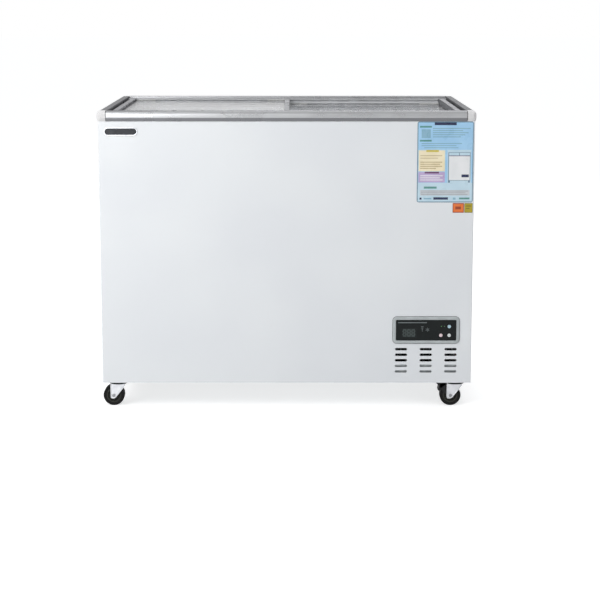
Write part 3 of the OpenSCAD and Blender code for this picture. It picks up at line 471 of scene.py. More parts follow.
def inset(piece, test, *steps, bridge=False):
    """Insets the faces that pass test by each (width, depth). bridge opens a hole between the last two."""
    pick(piece, "FACE", test)
    for width, depth in steps:
        bpy.ops.mesh.inset(thickness=width, depth=depth)
    if bridge:
        bpy.ops.mesh.bridge_edge_loops()
    leave_edit()


def cut(piece, place, normal, drop=False, close=True):
    """Cuts the piece's faces along a plane. drop takes off what lies behind it, and close fills that cut."""
    pick(piece, "FACE", lambda f: True)
    unit = Vector(normal).normalized()
    bpy.ops.mesh.bisect(plane_co=place, plane_no=unit, use_fill=drop and close, clear_inner=drop)
    leave_edit()


def modify(piece, kind, **settings):
    """Adds a modifier with its settings and applies it."""
    only(piece)
    bpy.ops.object.modifier_add(type=kind)
    modifier = piece.modifiers[-1]
    for name, value in settings.items():
        setattr(modifier, name, value)
    bpy.ops.object.modifier_apply(modifier=modifier.name)


def smooth(piece, degrees=32):
    """Smooth shading with edges past that angle kept sharp, and flat faces kept flat to their edges."""
    only(piece)
    bpy.ops.object.shade_smooth_by_angle(angle=math.radians(degrees))
    modify(piece, "WEIGHTED_NORMAL", keep_sharp=True)
    return piece


def joined(name, pieces):
    """One piece from several."""
    deselect()
    for piece in pieces:
        piece.select_set(True)
    bpy.context.view_layer.objects.active = pieces[0]
    if len(pieces) > 1:
        bpy.ops.object.join()
    result = bpy.context.object
    result.name = result.data.name = name
    return result


def copied(piece, name, matrix):
    """A copy with its own mesh, moved by matrix."""
    twin = piece.copy()
    twin.data = piece.data.copy()
    twin.data.transform(matrix)
    twin.name = twin.data.name = name
    bpy.context.scene.collection.objects.link(twin)
    return twin


def row_of(pieces, moves):
    """The pieces, and a copy of each one for every move."""
    copies = [copied(piece, piece.name, Matrix.Translation(move)) for move in moves for piece in pieces]
    return pieces + copies


def merged_node(cad, name):
    """A merged copy of a CAD node's loose triangles, with its flat faces made whole."""
    twin = copied(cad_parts[cad], name, Matrix.Identity(4))
    twin.data.materials.clear()
    for key in list(twin.keys()):
        if key.startswith("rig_"):
            del twin[key]
    twin.parent = None
    only(twin)
    bpy.ops.mesh.customdata_custom_splitnormals_clear()
    bpy.ops.object.mode_set(mode="EDIT")
    bpy.ops.mesh.select_all(action="SELECT")
    bpy.ops.mesh.remove_doubles(threshold=NEAR)
    bpy.ops.mesh.dissolve_limited(angle_limit=math.radians(1.0))
    leave_edit()
    return twin


def softened(cad, name, width, segments=2, degrees=35):
    """A merged copy of a CAD node with its sharp edges broken."""
    twin = merged_node(cad, name)
    bevel(twin, width, segments, lambda e: creased(e, degrees))
    return smooth(twin)


def paint(piece, *keys):
    """Gives the piece its finishes, in slot order."""
    piece.data.materials.clear()
    for key in keys:
        piece.data.materials.append(finishes[key].material)


def touch_up(piece, key, test):
    """Gives the faces that pass test another finish."""
    piece.data.materials.append(finishes[key].material)
    for face in piece.data.polygons:
        if test(face):
            face.material_index = len(piece.data.materials) - 1


def dress(piece, body, slot, *keys, replaces=()):
    """Gives the piece its finishes and its body, and hides the CAD nodes that it stands for. Its slot is not
    used.
    """
    if keys:
        paint(piece, *keys)
    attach(piece, body)
    if replaces:
        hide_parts(*replaces)


# Settings a user would change


class FreezerColours(bpy.types.PropertyGroup):
    """Colours of the finishes, as sRGB hex codes."""

    sheet: bpy.props.StringProperty(name="Cabinet", description="Paint of the cabinet", default="#e7eaec")
    sheet_shade: bpy.props.StringProperty(
        name="Cabinet shade", description="Darker tone of the paint", default="#e3e6e9")
    rim: bpy.props.StringProperty(name="Rim", description="Anodised rim", default="#a6a7a9")
    rim_shade: bpy.props.StringProperty(
        name="Rim shade", description="Darker tone of the rim", default="#9c9d9f")
    glass: bpy.props.StringProperty(name="Glass", description="Body colour of the panes", default="#b2b3b5")


class FreezerSizes(bpy.types.PropertyGroup):
    """Sizes of the dressed pieces."""

    rim_edge: bpy.props.FloatProperty(
        name="Rim edge", description="Rounding of the rim's edges", default=0.0008, subtype="DISTANCE",
        unit="LENGTH")
    cap_joint: bpy.props.FloatProperty(
        name="Cap joint", description="Width of the rubber joint between a cap and a rail", default=0.0015,
        subtype="DISTANCE", unit="LENGTH")
    bezel_edge: bpy.props.FloatProperty(
        name="Bezel edge", description="Rounding of the bezel's outer edge", default=0.0034,
        subtype="DISTANCE", unit="LENGTH")
    badge_ring: bpy.props.FloatProperty(
        name="Badge ring", description="Width of the badge's bright ring", default=0.0024, subtype="DISTANCE",
        unit="LENGTH")
    seal_width: bpy.props.FloatProperty(
        name="Lid seal", description="Width of the rubber strip on a lid's end", default=0.0028,
        subtype="DISTANCE", unit="LENGTH")


# Operators, one for each piece or group of like pieces


class FREEZER_OT_finishes(bpy.types.Operator):
    """Makes the materials and gives each CAD node its own."""

    bl_idname = "freezer.finishes"
    bl_label = "Finishes"

    def execute(self, context):
        make_finishes()
        for key, names in NODES_OF_FINISH.items():
            for name in names.split():
                paint(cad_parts[name], key)
        return {"FINISHED"}


def make_rails(edge, low, high):
    """Extrusions with painted shade on their skirt's downward faces, and a pale slide channel inside the
    band.
    """
    skirt_top, shelf = low.z + 14.5 * MM, low.z + 27.5 * MM
    for cad, name, key, across in (
        ("front_rail", "front_rail_extrusion", "rim_x", Y),
        ("back_rail", "back_rail_extrusion", "rim_x", Y),
        ("side_rails", "side_rail_extrusions", "rim_y", X),
    ):
        channel = high.dot(across) - RIM_BAND - 0.5 * MM
        rail = softened(cad, name, edge)
        dress(rail, "cabinet", "rim_profile", key, replaces=(cad,))
        # Faces of the skirt that look down get a darker tone: painted shade
        touch_up(rail, "rim_lip", lambda f: f.center.z < skirt_top and f.normal.z < -0.15)
        touch_up(rail, "rim_channel", lambda f: abs(f.center.dot(across)) < channel and f.center.z < shelf)


def make_caps(sizes, low, high):
    """Mouldings without the extrusions' creases. A cone closes the skirt round each corner, and a dark
    rubber joint ends them against the rails; its darkness is partly painted shade for the gap's shadow."""
    parts = [merged_node("corner_caps", "corner_cap_shells")]
    corner_r, skirt_high, skirt_foot, skirt_in = 12 * MM, 10 * MM, low.z + 4 * MM, 2.5 * MM
    for x in (-1, 1):
        for y in (-1, 1):
            deselect()
            bpy.ops.mesh.primitive_cone_add(
                vertices=48, radius1=corner_r - skirt_in, radius2=corner_r, depth=skirt_high,
                location=(x * (high.x - corner_r), y * (high.y - corner_r), skirt_foot + skirt_high / 2))
            parts.append(settled("corner_skirt"))
    caps = joined("corner_cap_mouldings", parts)
    modify(caps, "REMESH", voxel_size=sizes.rim_edge)
    modify(caps, "SMOOTH", iterations=14)
    for axis in (X, Y):
        for side in (-1, 1):
            cut(caps, axis * side * (high.dot(axis) - RIM_BAND + sizes.cap_joint), axis)
    only(caps)
    bpy.ops.object.shade_smooth_by_angle(angle=math.radians(70))
    dress(caps, "cabinet", "cap_plastic", "cap", replaces=("corner_caps",))
    joint, foot = sizes.cap_joint - RIM_BAND, low.z + 0.5 * MM
    # The dark joint at each rail end is a real joint, and partly painted shade for the shadow in the gap
    touch_up(caps, "rubber", lambda f: f.center.z > foot
             and min(abs(f.center.x) - high.x, abs(f.center.y) - high.y) < joint)


class FREEZER_OT_rim(bpy.types.Operator):
    """The rails with broken edges, and the moulded corner caps."""

    bl_idname = "freezer.rim"
    bl_label = "Rim"

    def execute(self, context):
        sizes = context.scene.freezer_sizes
        low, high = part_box("corner_caps")
        make_rails(sizes.rim_edge, low, high)
        make_caps(sizes, low, high)
        return {"FINISHED"}


class FREEZER_OT_lids(bpy.types.Operator):
    """Lid profiles with broken edges, and the rubber strips on their ends."""

    bl_idname = "freezer.lids"
    bl_label = "Lids"

    def execute(self, context):
        width = context.scene.freezer_sizes.seal_width
        end_gap, foot_gap, top_gap = 2 * MM, 1.5 * MM, 6 * MM
        for side, outer in (("left", -1), ("right", 1)):
            body, cad = side + "_lid", side + "_lid_profiles"
            profiles = softened(cad, side + "_lid_extrusions", 0.5 * MM)
            dress(profiles, body, "lid_profile", "profile", replaces=(cad,))
            low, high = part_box(cad)
            near, far = sorted((low.x, low.x - width) if outer < 0 else (high.x, high.x + width))
            strip = block(side + "_lid_seal", (near, low.y + end_gap, low.z + foot_gap),
                          (far, high.y - end_gap, high.z - top_gap))
            centre = (near + far) / 2
            bevel(strip, 1.1 * MM, 3, lambda e: runs(e, Y) and (middle(e).x - centre) * outer > 0)
            dress(smooth(strip), body, "black_rubber", "rubber")
        return {"FINISHED"}


def inside(point, low, high, margin):
    """True if the point is more than margin inside the box, seen from the front."""
    return low.x + margin < point.x < high.x - margin and low.z + margin < point.z < high.z - margin


def surround(name, low, high, corner, border):
    """A flat frame with round corners, border wide."""
    piece = block(name, low, high)
    bevel(piece, corner, 8, lambda e: runs(e, Y))
    inset(piece, faces_ends, (border, 0), bridge=True)
    return piece


class FREEZER_OT_bezel(bpy.types.Operator):
    """The control panel's bezel, a rounded frame with a soft outer edge, and its gasket, whose dark line is
    painted shade.
    """

    bl_idname = "freezer.bezel"
    bl_label = "Control bezel"

    def execute(self, context):
        edge = context.scene.freezer_sizes.bezel_edge
        low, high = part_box("control_bezel")
        corner, border, inner_edge = 12 * MM, 9.2 * MM, 1 * MM
        bezel = surround("bezel_frame", low, high, corner, border)
        front = at(Y, low.y)
        for width, segments, inner in ((edge, 4, False), (inner_edge, 3, True)):
            bevel(bezel, width, segments, lambda e: front(e) and sharp(e)
                  and inside(middle(e), low, high, border * 0.9) == inner)
        dress(smooth(bezel), "cabinet", "bezel_silver", "bezel", replaces=("control_bezel",))
        # Foam gasket between the bezel and the panel; its dark line round the bezel is also painted shade for
        # the bezel's shadow
        out, thick = 0.7 * MM, 1.2 * MM
        foot = Vector((low.x - out, high.y - thick, low.z - out))
        shadow_gasket = surround("bezel_shadow_gasket", foot, high + (X + Z) * out, corner + out, border - 1 * MM)
        bevel(shadow_gasket, 0.3 * MM, 2, sharp)
        dress(smooth(shadow_gasket), "cabinet", "black_rubber", "rubber")
        return {"FINISHED"}


def bar_set(name, bars, y_front, y_back, edge):
    """Thin bars on the front, each (x, z, width, height, degrees), as one piece."""
    made = []
    for x, z, w, h, turn in bars:
        bar = block(name, (-w / 2, y_front, -h / 2), (w / 2, y_back, h / 2))
        bevel(bar, min(edge, 0.45 * min(w, h)), 2, lambda e: runs(e, Y))
        bar.data.transform(Matrix.Translation((x, 0, z)) @ Matrix.Rotation(math.radians(turn), 4, "Y"))
        made.append(bar)
    return joined(name, made)


def make_display():
    """Three unlit figures of seven bars each show dimly through the smoked window."""
    low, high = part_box("display_window")
    centre, face = (low + high) / 2, low.y
    across, tall, wide, step, lean = 8.4 * MM, 18.4 * MM, 3.4 * MM, 12.8 * MM, 4
    bars = [(0, level * tall / 2, across, wide, 0) for level in (1, 0, -1)]
    bars += [(x * across / 2, z * tall / 4, wide, tall / 2 - wide, lean) for x in (1, -1) for z in (1, -1)]
    digits = [(centre.x + k * step + dx, centre.z + dz, *rest) for k in (-1, 0, 1) for dx, dz, *rest in bars]
    tile = bar_set("display_tile", [(centre.x, centre.z, 36 * MM, 24 * MM, 0)], face - 0.1 * MM,
                   face + 0.2 * MM, 1 * MM)
    dress(tile, "cabinet", "black_gloss", "digit_face")
    segments = bar_set("display_digits", digits, face - 0.2 * MM, face + 0.1 * MM, 0.7 * MM)
    dress(segments, "cabinet", "black_gloss", "digit")


def make_marks():
    """Ink: a fine line over the display, a flake and a scale beside it."""
    low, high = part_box("control_fascia")
    scale_x, scale_z, scale_step = low.x + 79 * MM, low.z + 30 * MM, 4.2 * MM
    flake_x, flake_z = low.x + 94 * MM, low.z + 34 * MM
    ink = [(low.x + 50 * MM, high.z - 10 * MM, 84 * MM, 3 * MM, 0)]
    ink += [(scale_x, scale_z + k * scale_step, (2.4 + 1.7 * k) * MM, 2 * MM, 0) for k in range(4)]
    ink += [(flake_x, flake_z, 1.5 * MM, 12 * MM, turn) for turn in (0, 60, 120)]
    marks = bar_set("fascia_marks", ink, low.y - 0.12 * MM, low.y + 0.1 * MM, 0.5 * MM)
    dress(marks, "cabinet", "black_gloss", "fascia_ink")


def make_lamps():
    """Two domed lamps."""
    low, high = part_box("indicator_lamps")
    radius = (high.z - low.z) / 2
    x, z = low.x + radius, low.z + radius
    dome = round_bar("lamp", X * x + Z * z, Y, high.y, low.y, radius, 32)
    bevel(dome, radius * 0.7, 5, at(Y, low.y))
    domes = joined("lamp_domes", row_of([dome], [X * (high.x - low.x - 2 * radius)]))
    dress(smooth(domes, 60), "cabinet", "lamp_green", "lamp", replaces=("indicator_lamps",))


class FREEZER_OT_control_face(bpy.types.Operator):
    """The fascia's printed marks, the display's digits and the lamps."""

    bl_idname = "freezer.control_face"
    bl_label = "Control face"

    def execute(self, context):
        fascia = softened("control_fascia", "fascia_plate", 0.3 * MM)
        dress(fascia, "cabinet", "black_gloss", "fascia", replaces=("control_fascia",))
        make_display()
        make_marks()
        make_lamps()
        return {"FINISHED"}


class FREEZER_OT_bay_upstand(bpy.types.Operator):
    """The galvanised angle that stiffens the base pan's front edge, seen through the lower vent slots."""

    bl_idname = "freezer.bay_upstand"
    bl_label = "Bay upstand"

    def execute(self, context):
        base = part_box("base_pan")[1].z
        low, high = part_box("bay_divider")
        front, thick, foot, tall = -324 * MM, 1.2 * MM, 20 * MM, 56 * MM
        left, right = low.x + 20 * MM, high.x - 15 * MM
        angle = block("bay_upstand", (left, front, base), (right, front + foot, base + thick))
        cut(angle, Y * (front + thick), Y)
        pick(angle, "FACE", lambda f: looks(f, Z) and middle(f).y < front + thick)
        bpy.ops.mesh.extrude_region_move(TRANSFORM_OT_translate={"value": Z * tall})
        leave_edit()
        bevel(angle, 0.3 * MM, 2, sharp)
        dress(smooth(angle), "cabinet", "galvanised", "galvanised")
        return {"FINISHED"}


def make_button(cad):
    """A cap with a dished top, on a flange that holds it in and a stem."""
    low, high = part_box(cad)
    origin = ((low + high) / 2) * Vector((1, 0, 1))
    radius, flange_r, stem_r = 5 * MM, 6 * MM, 2 * MM
    flange_front, cap_back, flange_back = low.y + 4.4 * MM, low.y + 4.5 * MM, low.y + 6 * MM
    cap = round_bar(cad + "_cap", origin, Y, cap_back, low.y, radius)
    inset(cap, lambda f: looks(f, -Y), (1.6 * MM, 0), (1.2 * MM, -0.35 * MM))
    front = at(Y, low.y)
    bevel(cap, 0.7 * MM, 4, lambda e: front(e) and sharp(e))
    flange = round_bar("flange", origin, Y, flange_front, flange_back, flange_r)
    stem = round_bar("stem", origin, Y, flange_back, high.y, stem_r)
    return smooth(joined(cad + "_cap", [cap, flange, stem]))


class FREEZER_OT_buttons(bpy.types.Operator):
    """Three dished push buttons with a soft edge."""

    bl_idname = "freezer.buttons"
    bl_label = "Push buttons"

    def execute(self, context):
        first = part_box("power_button")[0]
        made = {"power_button": make_button("power_button")}
        for cad in ("up_button", "down_button"):
            move = Matrix.Translation(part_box(cad)[0] - first)
            made[cad] = copied(made["power_button"], cad + "_cap", move)
        for cad, key in zip(made, ("button_blue", "button_white", "button_pink")):
            dress(made[cad], cad, key, key, replaces=(cad,))
        return {"FINISHED"}


class FREEZER_OT_badge(bpy.types.Operator):
    """The bare oval badge: a bright raised ring round a dark gloss field."""

    bl_idname = "freezer.badge"
    bl_label = "Badge"

    def execute(self, context):
        ring = context.scene.freezer_sizes.badge_ring
        low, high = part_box("badge_plate")
        wall, depth = 0.5 * MM, 0.9 * MM
        badge = block("badge_oval", low, high)
        bevel(badge, (high.z - low.z) / 2 - 0.02 * MM, 14, lambda e: runs(e, Y))
        # The two rounded corners of each end meet in one line
        pick(badge, "VERT", lambda v: True)
        bpy.ops.mesh.remove_doubles(threshold=0.1 * MM)
        leave_edit()
        inset(badge, lambda f: looks(f, -Y), (ring, 0), (wall, -depth))
        front = at(Y, low.y)
        bevel(badge, 0.8 * MM, 4, lambda e: front(e) and creased(e, 40))
        dress(smooth(badge), "cabinet", "badge_metal", "chrome", replaces=("badge_plate",))
        touch_up(badge, "badge_face", lambda f: abs(f.center.y - low.y - depth) < NEAR and looks(f, -Y))
        return {"FINISHED"}


# The information label in mm from its lower left corner: left, right, bottom, top, ink
LABEL_LAYOUT = (
    (0, 161.5, 0, 233.5, "frame"), (2.6, 158.9, 2.6, 230.9, "sky"), (2.6, 158.9, 2.6, 57, "pale"),
    (49, 112, 223, 230.9, "navy"),
    (7, 41, 216, 221, "teal"), (12, 38, 186, 211, "steel"), (7, 41, 176, 181, "teal"),
    (44, 152, 212, 215, "steel"), (44, 131, 206, 209, "steel"), (44, 146, 200, 203, "steel"),
    (44, 137, 194, 197, "steel"), (44, 124, 188, 191, "steel"), (12, 128, 169, 171.5, "steel"),
    (12, 112, 163, 165.5, "steel"), (20, 118, 157, 159.5, "steel"),
    (4, 80, 90, 151, "cream"), (26, 62, 146, 152, "gold"), (9, 72, 134, 136.5, "sand"),
    (9, 60, 127, 129.5, "sand"), (9, 72, 115, 118, "sand"), (9, 66, 109, 112, "sand"),
    (9, 72, 103, 106, "sand"), (9, 54, 97, 100, "sand"),
    (4, 80, 58, 88, "lilac"), (22, 63, 84, 89, "plum"), (9, 74, 76, 78.5, "white"),
    (9, 66, 70, 72.5, "white"), (9, 74, 64, 66.5, "white"),
    (87, 155, 57, 152, "pale"), (89.5, 153, 63, 145, "frame"), (91.5, 151.5, 64.5, 134, "white"),
    (91.5, 151.5, 136, 143.5, "pale"), (120, 122, 134, 143.5, "frame"), (90, 152, 134, 135.5, "plum"),
    (89.5, 95, 57.5, 63, "frame"), (147, 152.5, 57.5, 63, "frame"), (128, 149, 73, 81, "navy"),
    (20, 57, 40, 46, "teal"), (9, 152, 20, 36, "mist"), (12, 148, 32, 34, "grey"),
    (12, 140, 27, 29, "grey"), (12, 146, 22, 24, "grey"),
    (8, 14, 8, 14, "navy"), (20, 42, 9, 13, "steel"), (48, 90, 8, 15, "navy"),
    (104, 112, 8, 14, "steel"), (122, 152, 9, 14, "teal"),
)
ORANGE_LAYOUT = (
    (0, 32.6, 0, 28, "rust"), (2, 30.6, 2.5, 25.5, "orange"), (8, 24, 10, 18, "rust"),
)
OLIVE_LAYOUT = (
    (0, 23.8, 0, 28, "moss"), (1.5, 22.3, 1.5, 26.5, "olive"), (5, 19, 18, 21, "moss"),
    (5, 15, 11, 14, "moss"),
)


def covers(row, x, z):
    """True if the layout row covers the point or has it on its edge."""
    left, right, bottom, top = row[:4]
    slack = 0.01
    return left - slack < x < right + slack and bottom - slack < z < top + slack


def make_label(name, right, foot, corner, layout):
    """A label whose front is cut along its printed areas, each face with its own ink."""
    low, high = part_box("front_labels")
    width, height = layout[0][1] * MM, layout[0][3] * MM
    left = right - width
    label = block(name, (left, low.y, foot), (left + width, high.y, foot + height))
    bevel(label, corner, 6, lambda e: runs(e, Y))
    for column in sorted({edge for row in layout for edge in row[:2]})[1:-1]:
        cut(label, (left + column * MM, 0, 0), X)
    for level in sorted({edge for row in layout for edge in row[2:4]})[1:-1]:
        cut(label, (0, 0, foot + level * MM), Z)
    inks = sorted({row[4] for row in layout})
    paint(label, *("ink_" + ink for ink in inks))
    for face in label.data.polygons:
        x, z = (face.center.x - left) / MM, (face.center.z - foot) / MM
        for row in layout:
            if covers(row, x, z):
                face.material_index = inks.index(row[4])
    return label


class FREEZER_OT_labels(bpy.types.Operator):
    """The printed film labels: a large blue one laid out in plain bars and blocks, and two small ones."""

    bl_idname = "freezer.labels"
    bl_label = "Labels"

    def execute(self, context):
        low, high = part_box("front_labels")
        big_height, orange_gap = LABEL_LAYOUT[0][3] * MM, 25 * MM
        made = [
            make_label("information_label", high.x, high.z - big_height, 6 * MM, LABEL_LAYOUT),
            make_label("orange_label", high.x - orange_gap, low.z, 1.5 * MM, ORANGE_LAYOUT),
            make_label("olive_label", high.x, low.z, 1.5 * MM, OLIVE_LAYOUT),
        ]
        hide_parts("front_labels")
        for label in made:
            dress(label, "cabinet", "label_film")
        return {"FINISHED"}


# The fork in mm: its legs' inner and outer faces and front edge from the swivel, and its bosses' faces
LEG_IN, LEG_OUT, LEG_FRONT, BOSS_OUT = 15, 17.5, 20.5, 17.6


def wheel_centre(corner):
    """The middle of the wheel."""
    low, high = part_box(corner + "_tyre")
    return (low + high) / 2


def swivel_foot(corner):
    """The foot of the swivel's axis, behind which the wheel trails."""
    centre = wheel_centre(corner)
    return Vector((centre.x + TRAIL, centre.y, 0))


def wheel_sizes():
    """Radius, half width and core radius."""
    low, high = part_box("front_left_tyre")
    core_low, core_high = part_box("front_left_core")
    return (high.z - low.z) / 2, (high.y - low.y) / 2, (core_high.z - core_low.z) / 2


def make_tread(axle):
    """A solid tread ring with round shoulders and a stepped side wall."""
    radius, half, core_r = wheel_sizes()
    wall, step, shoulder = 5 * MM, 0.8 * MM, 4 * MM
    ring = round_bar("front_left_tread", axle, Y, -half, half, radius, 72)
    inset(ring, faces_ends, (wall, 0), (radius - core_r - wall, -step), bridge=True)
    bevel(ring, shoulder, 6, lambda e: abs(abs(middle(e).y - axle.y) - half) < NEAR
          and (middle(e) - axle).length > radius)
    return smooth(ring, 40)


def make_core(axle):
    """A moulded core: rim, recessed web with eight ribs, and hub."""
    half, core_r = wheel_sizes()[1:]
    rim, draft, hub_r, web_depth, hub_rise = 3.5 * MM, 0.8 * MM, 9 * MM, 6 * MM, 7.5 * MM
    face = half - 1 * MM
    disc = round_bar("front_left_ribbed_core", axle, Y, -face, face, core_r, 72)
    inset(disc, faces_ends, (rim, 0), (draft, -web_depth), (core_r - rim - draft - hub_r, 0),
          (0.6 * MM, hub_rise))
    rib_in, rib_out, rib_half, rib_face = 8 * MM, core_r - 3.6 * MM, 0.9 * MM, face - 1.5 * MM
    rib = block("rib", (rib_in, -rib_face, -rib_half), (rib_out, rib_face, rib_half))
    ribs = [copied(rib, "rib", Matrix.Rotation(math.radians(45 * k), 4, "Y")) for k in range(1, 8)] + [rib]
    for piece in ribs:
        piece.data.transform(Matrix.Translation(axle))
    return smooth(joined("front_left_ribbed_core", [disc] + ribs))


def make_fork(corner):
    """A pressed fork: crown, ball race, web, two dished legs, the axle bolt, and a dark skirt round the race
    that is painted shade for the shadow under the cabinet. The braked caster's skirt is cut off to clear
    the pedal."""
    axle, swivel, braked = wheel_centre(corner), swivel_foot(corner), corner == "front_right"
    crown_foot, crown_top, crown_r = 66 * MM, 74.6 * MM, 22 * MM
    race_foot, race_top, race_r = 69.5 * MM, 72.5 * MM, 22.6 * MM
    skirt_foot, skirt_top, skirt_r, skirt_back = 66.8 * MM, 70.2 * MM, 28 * MM, 22.8 * MM
    crown = round_bar("crown", swivel, Z, crown_foot, crown_top, crown_r, 64)
    bevel(crown, 5 * MM, 5, at(Z, crown_top))
    race = round_bar("race", swivel, Z, race_foot, race_top, race_r, 64)
    bevel(race, 1.2 * MM, 4, sharp)
    web_foot, web_top = 66, 68
    web = block("web", spot(swivel, -LEG_FRONT, -LEG_OUT, web_foot),
                spot(swivel, LEG_FRONT, LEG_OUT, web_top))
    bevel(web, 1.2 * MM, 3, lambda e: runs(e, X))
    parts = [crown, race, web]
    leg_back = -25 if braked else -23.5
    for side in (-1, 1):
        parts += make_leg(swivel, side, leg_back) + make_bolt_end(axle, Y * side)
    pin = round_bar("axle", axle, Y, -17 * MM, 17 * MM, 4 * MM, 24)
    # A dark skirt round the race: painted shade for the shadow under the cabinet
    skirt = round_bar("skirt", swivel, Z, skirt_foot, skirt_top, skirt_r, 64)
    if braked:
        cut(skirt, swivel - X * skirt_back, X, True)
    bevel(skirt, 0.8 * MM, 3, sharp)
    fork = smooth(joined(corner + "_pressed_fork", parts + [pin, skirt]))

    def on_bolt(face):
        return abs(face.center.y - axle.y) > (BOSS_OUT + 0.05) * MM and face.center.z < 40 * MM

    def on_shade_skirt(face):
        level, slack = face.center.z, 0.1 * MM
        if (face.center - swivel).xy.length > 23.5 * MM:
            return level > 66.5 * MM
        many_sided = len(face.vertices) > 20 and abs(face.normal.z) > 0.9
        return many_sided and skirt_foot - slack < level < skirt_top + slack

    paint(fork, "zinc")
    touch_up(fork, "axle_steel", on_bolt)
    # Painted shade: the skirt's faces get the dark finish
    touch_up(fork, "dark", on_shade_skirt)
    return fork


def make_leg(swivel, side, back):
    """A leg that narrows to a round tip, its field pressed in to leave a raised border."""
    y0, y1 = sorted((side * LEG_IN, side * LEG_OUT))
    foot, top, slant_top, slant = 21.5, 67.5, 61, (-33.0, 0, 25.95)
    tip_r, tip_level, border = 5.5 * MM, 24 * MM, 2.4 * MM
    leg = block("leg", spot(swivel, back, y0, foot), spot(swivel, LEG_FRONT, y1, top))
    cut(leg, spot(swivel, LEG_FRONT, 0, slant_top), slant, True)
    bevel(leg, tip_r, 6, lambda e: runs(e, Y) and middle(e).z < tip_level)
    inset(leg, lambda f: looks(f, Y * side), (border, 0), (0.8 * MM, -1.1 * MM))
    bevel(leg, 0.7 * MM, 3, lambda e: abs(abs(middle(e).y - swivel.y) - LEG_OUT * MM) < NEAR and sharp(e))
    return [leg]


def make_bolt_end(axle, out):
    """The pressed boss, hexagon head and stud end of the axle bolt."""
    head_out = 20.4
    boss = round_bar("boss", axle, out, 16.4 * MM, BOSS_OUT * MM, 6.2 * MM, 40)
    bevel(boss, 0.4 * MM, 2, sharp)
    head = round_bar("head", axle, out, (BOSS_OUT - 0.1) * MM, head_out * MM, 5.2 * MM, 6)
    bevel(head, 0.5 * MM, 2, lambda e: creased(e, 20))
    stud = round_bar("stud", axle, out, (head_out - 0.1) * MM, (head_out + 1) * MM, 2.5 * MM, 24)
    return [boss, head, stud]


class FREEZER_OT_casters(bpy.types.Operator):
    """Four swivel casters: pressed forks, ribbed cores and rounded treads."""

    bl_idname = "freezer.casters"
    bl_label = "Casters"

    def execute(self, context):
        first = wheel_centre("front_left")
        models = {
            "_tread": make_tread(first), "_ribbed_core": make_core(first),
            "_pressed_fork": make_fork("front_left"),
        }
        made = {"front_left" + part: model for part, model in models.items()}
        for corner in CORNERS[1:]:
            move = Matrix.Translation(wheel_centre(corner) - first)
            for part, model in models.items():
                own = (corner, part) == ("front_right", "_pressed_fork")
                made[corner + part] = make_fork(corner) if own else copied(model, corner + part, move)
        for corner in CORNERS:
            wheel, fork = corner + "_wheel", made[corner + "_pressed_fork"]
            dress(made[corner + "_tread"], wheel, "wheel_tread", "tread", replaces=(corner + "_tyre",))
            dress(made[corner + "_ribbed_core"], wheel, "wheel_nylon", "core", replaces=(corner + "_core",))
            dress(fork, corner + "_caster", "zinc_steel", replaces=(corner + "_fork",))
        return {"FINISHED"}


class FREEZER_OT_brake(bpy.types.Operator):
    """The ribbed brake pedal of the front right caster."""

    bl_idname = "freezer.brake"
    bl_label = "Brake pedal"

    def execute(self, context):
        pedal = softened("brake_pedal", "brake_treadle", 0.8 * MM, 3, 30)
        swivel = swivel_foot("front_right")
        # Four ribs down the pedal's tread, which falls 6.5 mm in 16
        rib_x, rib_low, rib_high, rib_thick, rib_half, pitch = -50, 66.7375, 68.5375, 1.4, 11, 4
        fall = pitch * 6.5 / 16
        rib = block("rib", spot(swivel, rib_x, -rib_half, rib_low),
                    spot(swivel, rib_x + rib_thick, rib_half, rib_high))
        ribs = row_of([rib], [(X * pitch - Z * fall) * k * MM for k in (1, 2, 3)])
        # Cheeks of the brake shoe, between the tread and the fork's legs, cut along their back edge
        back_edge = ((-24.8, 33), (-33, 38), (-41, 47), (-45.5, 57), (-45, 67.5))
        back, front, foot, top, near, far = -46, -24.8, 32, 67.5, 13.4, 14.7
        cheek = block("cheek", spot(swivel, back, -far, foot), spot(swivel, front, -near, top))
        for (x0, z0), (x1, z1) in zip(back_edge, back_edge[1:]):
            cut(cheek, spot(swivel, x0, 0, z0), (z1 - z0, 0, x0 - x1), True)
        bevel(cheek, 0.5 * MM, 2, lambda e: creased(e, 20))
        cheeks = row_of([cheek], [Y * (near + far) * MM])
        brake = smooth(joined("brake_treadle", [pedal] + ribs + cheeks))
        dress(brake, "brake", "dark_plastic", "dark", replaces=("brake_pedal",))
        return {"FINISHED"}


class FREEZER_OT_louvres(bpy.types.Operator):
    """Pressed hoods over the rear grille's slots."""

    bl_idname = "freezer.louvres"
    bl_label = "Rear louvres"

    def execute(self, context):
        low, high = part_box("rear_grille")
        centre = (low + high) / 2
        column_x, row_z, lift = 52 * MM, 17 * MM, 3 * MM
        places = [Vector((centre.x + column * column_x, high.y, centre.z + row * row_z + lift))
                  for column in (-1, 1) for row in range(-4, 5)]
        first = places[0]
        # A flattened ball, of which what is above the slot and outside the sheet stays
        half_wide, half_deep, half_high = 47 * MM, 3.6 * MM, 5 * MM
        deselect()
        bpy.ops.mesh.primitive_uv_sphere_add(
            segments=24, ring_count=12, radius=1, location=first - Y * 0.4 * MM,
            scale=(half_wide, half_deep, half_high))
        hood = settled("hood")
        cut(hood, first - Y * 0.3 * MM, Y, True, False)
        cut(hood, first - Z * 1.5 * MM, Z, True, False)
        hoods = joined("grille_hoods", row_of([hood], [place - first for place in places[1:]]))
        modify(hoods, "SOLIDIFY", thickness=0.7 * MM)
        dress(smooth(hoods, 40), "cabinet", "grille_steel", "grille")
        return {"FINISHED"}


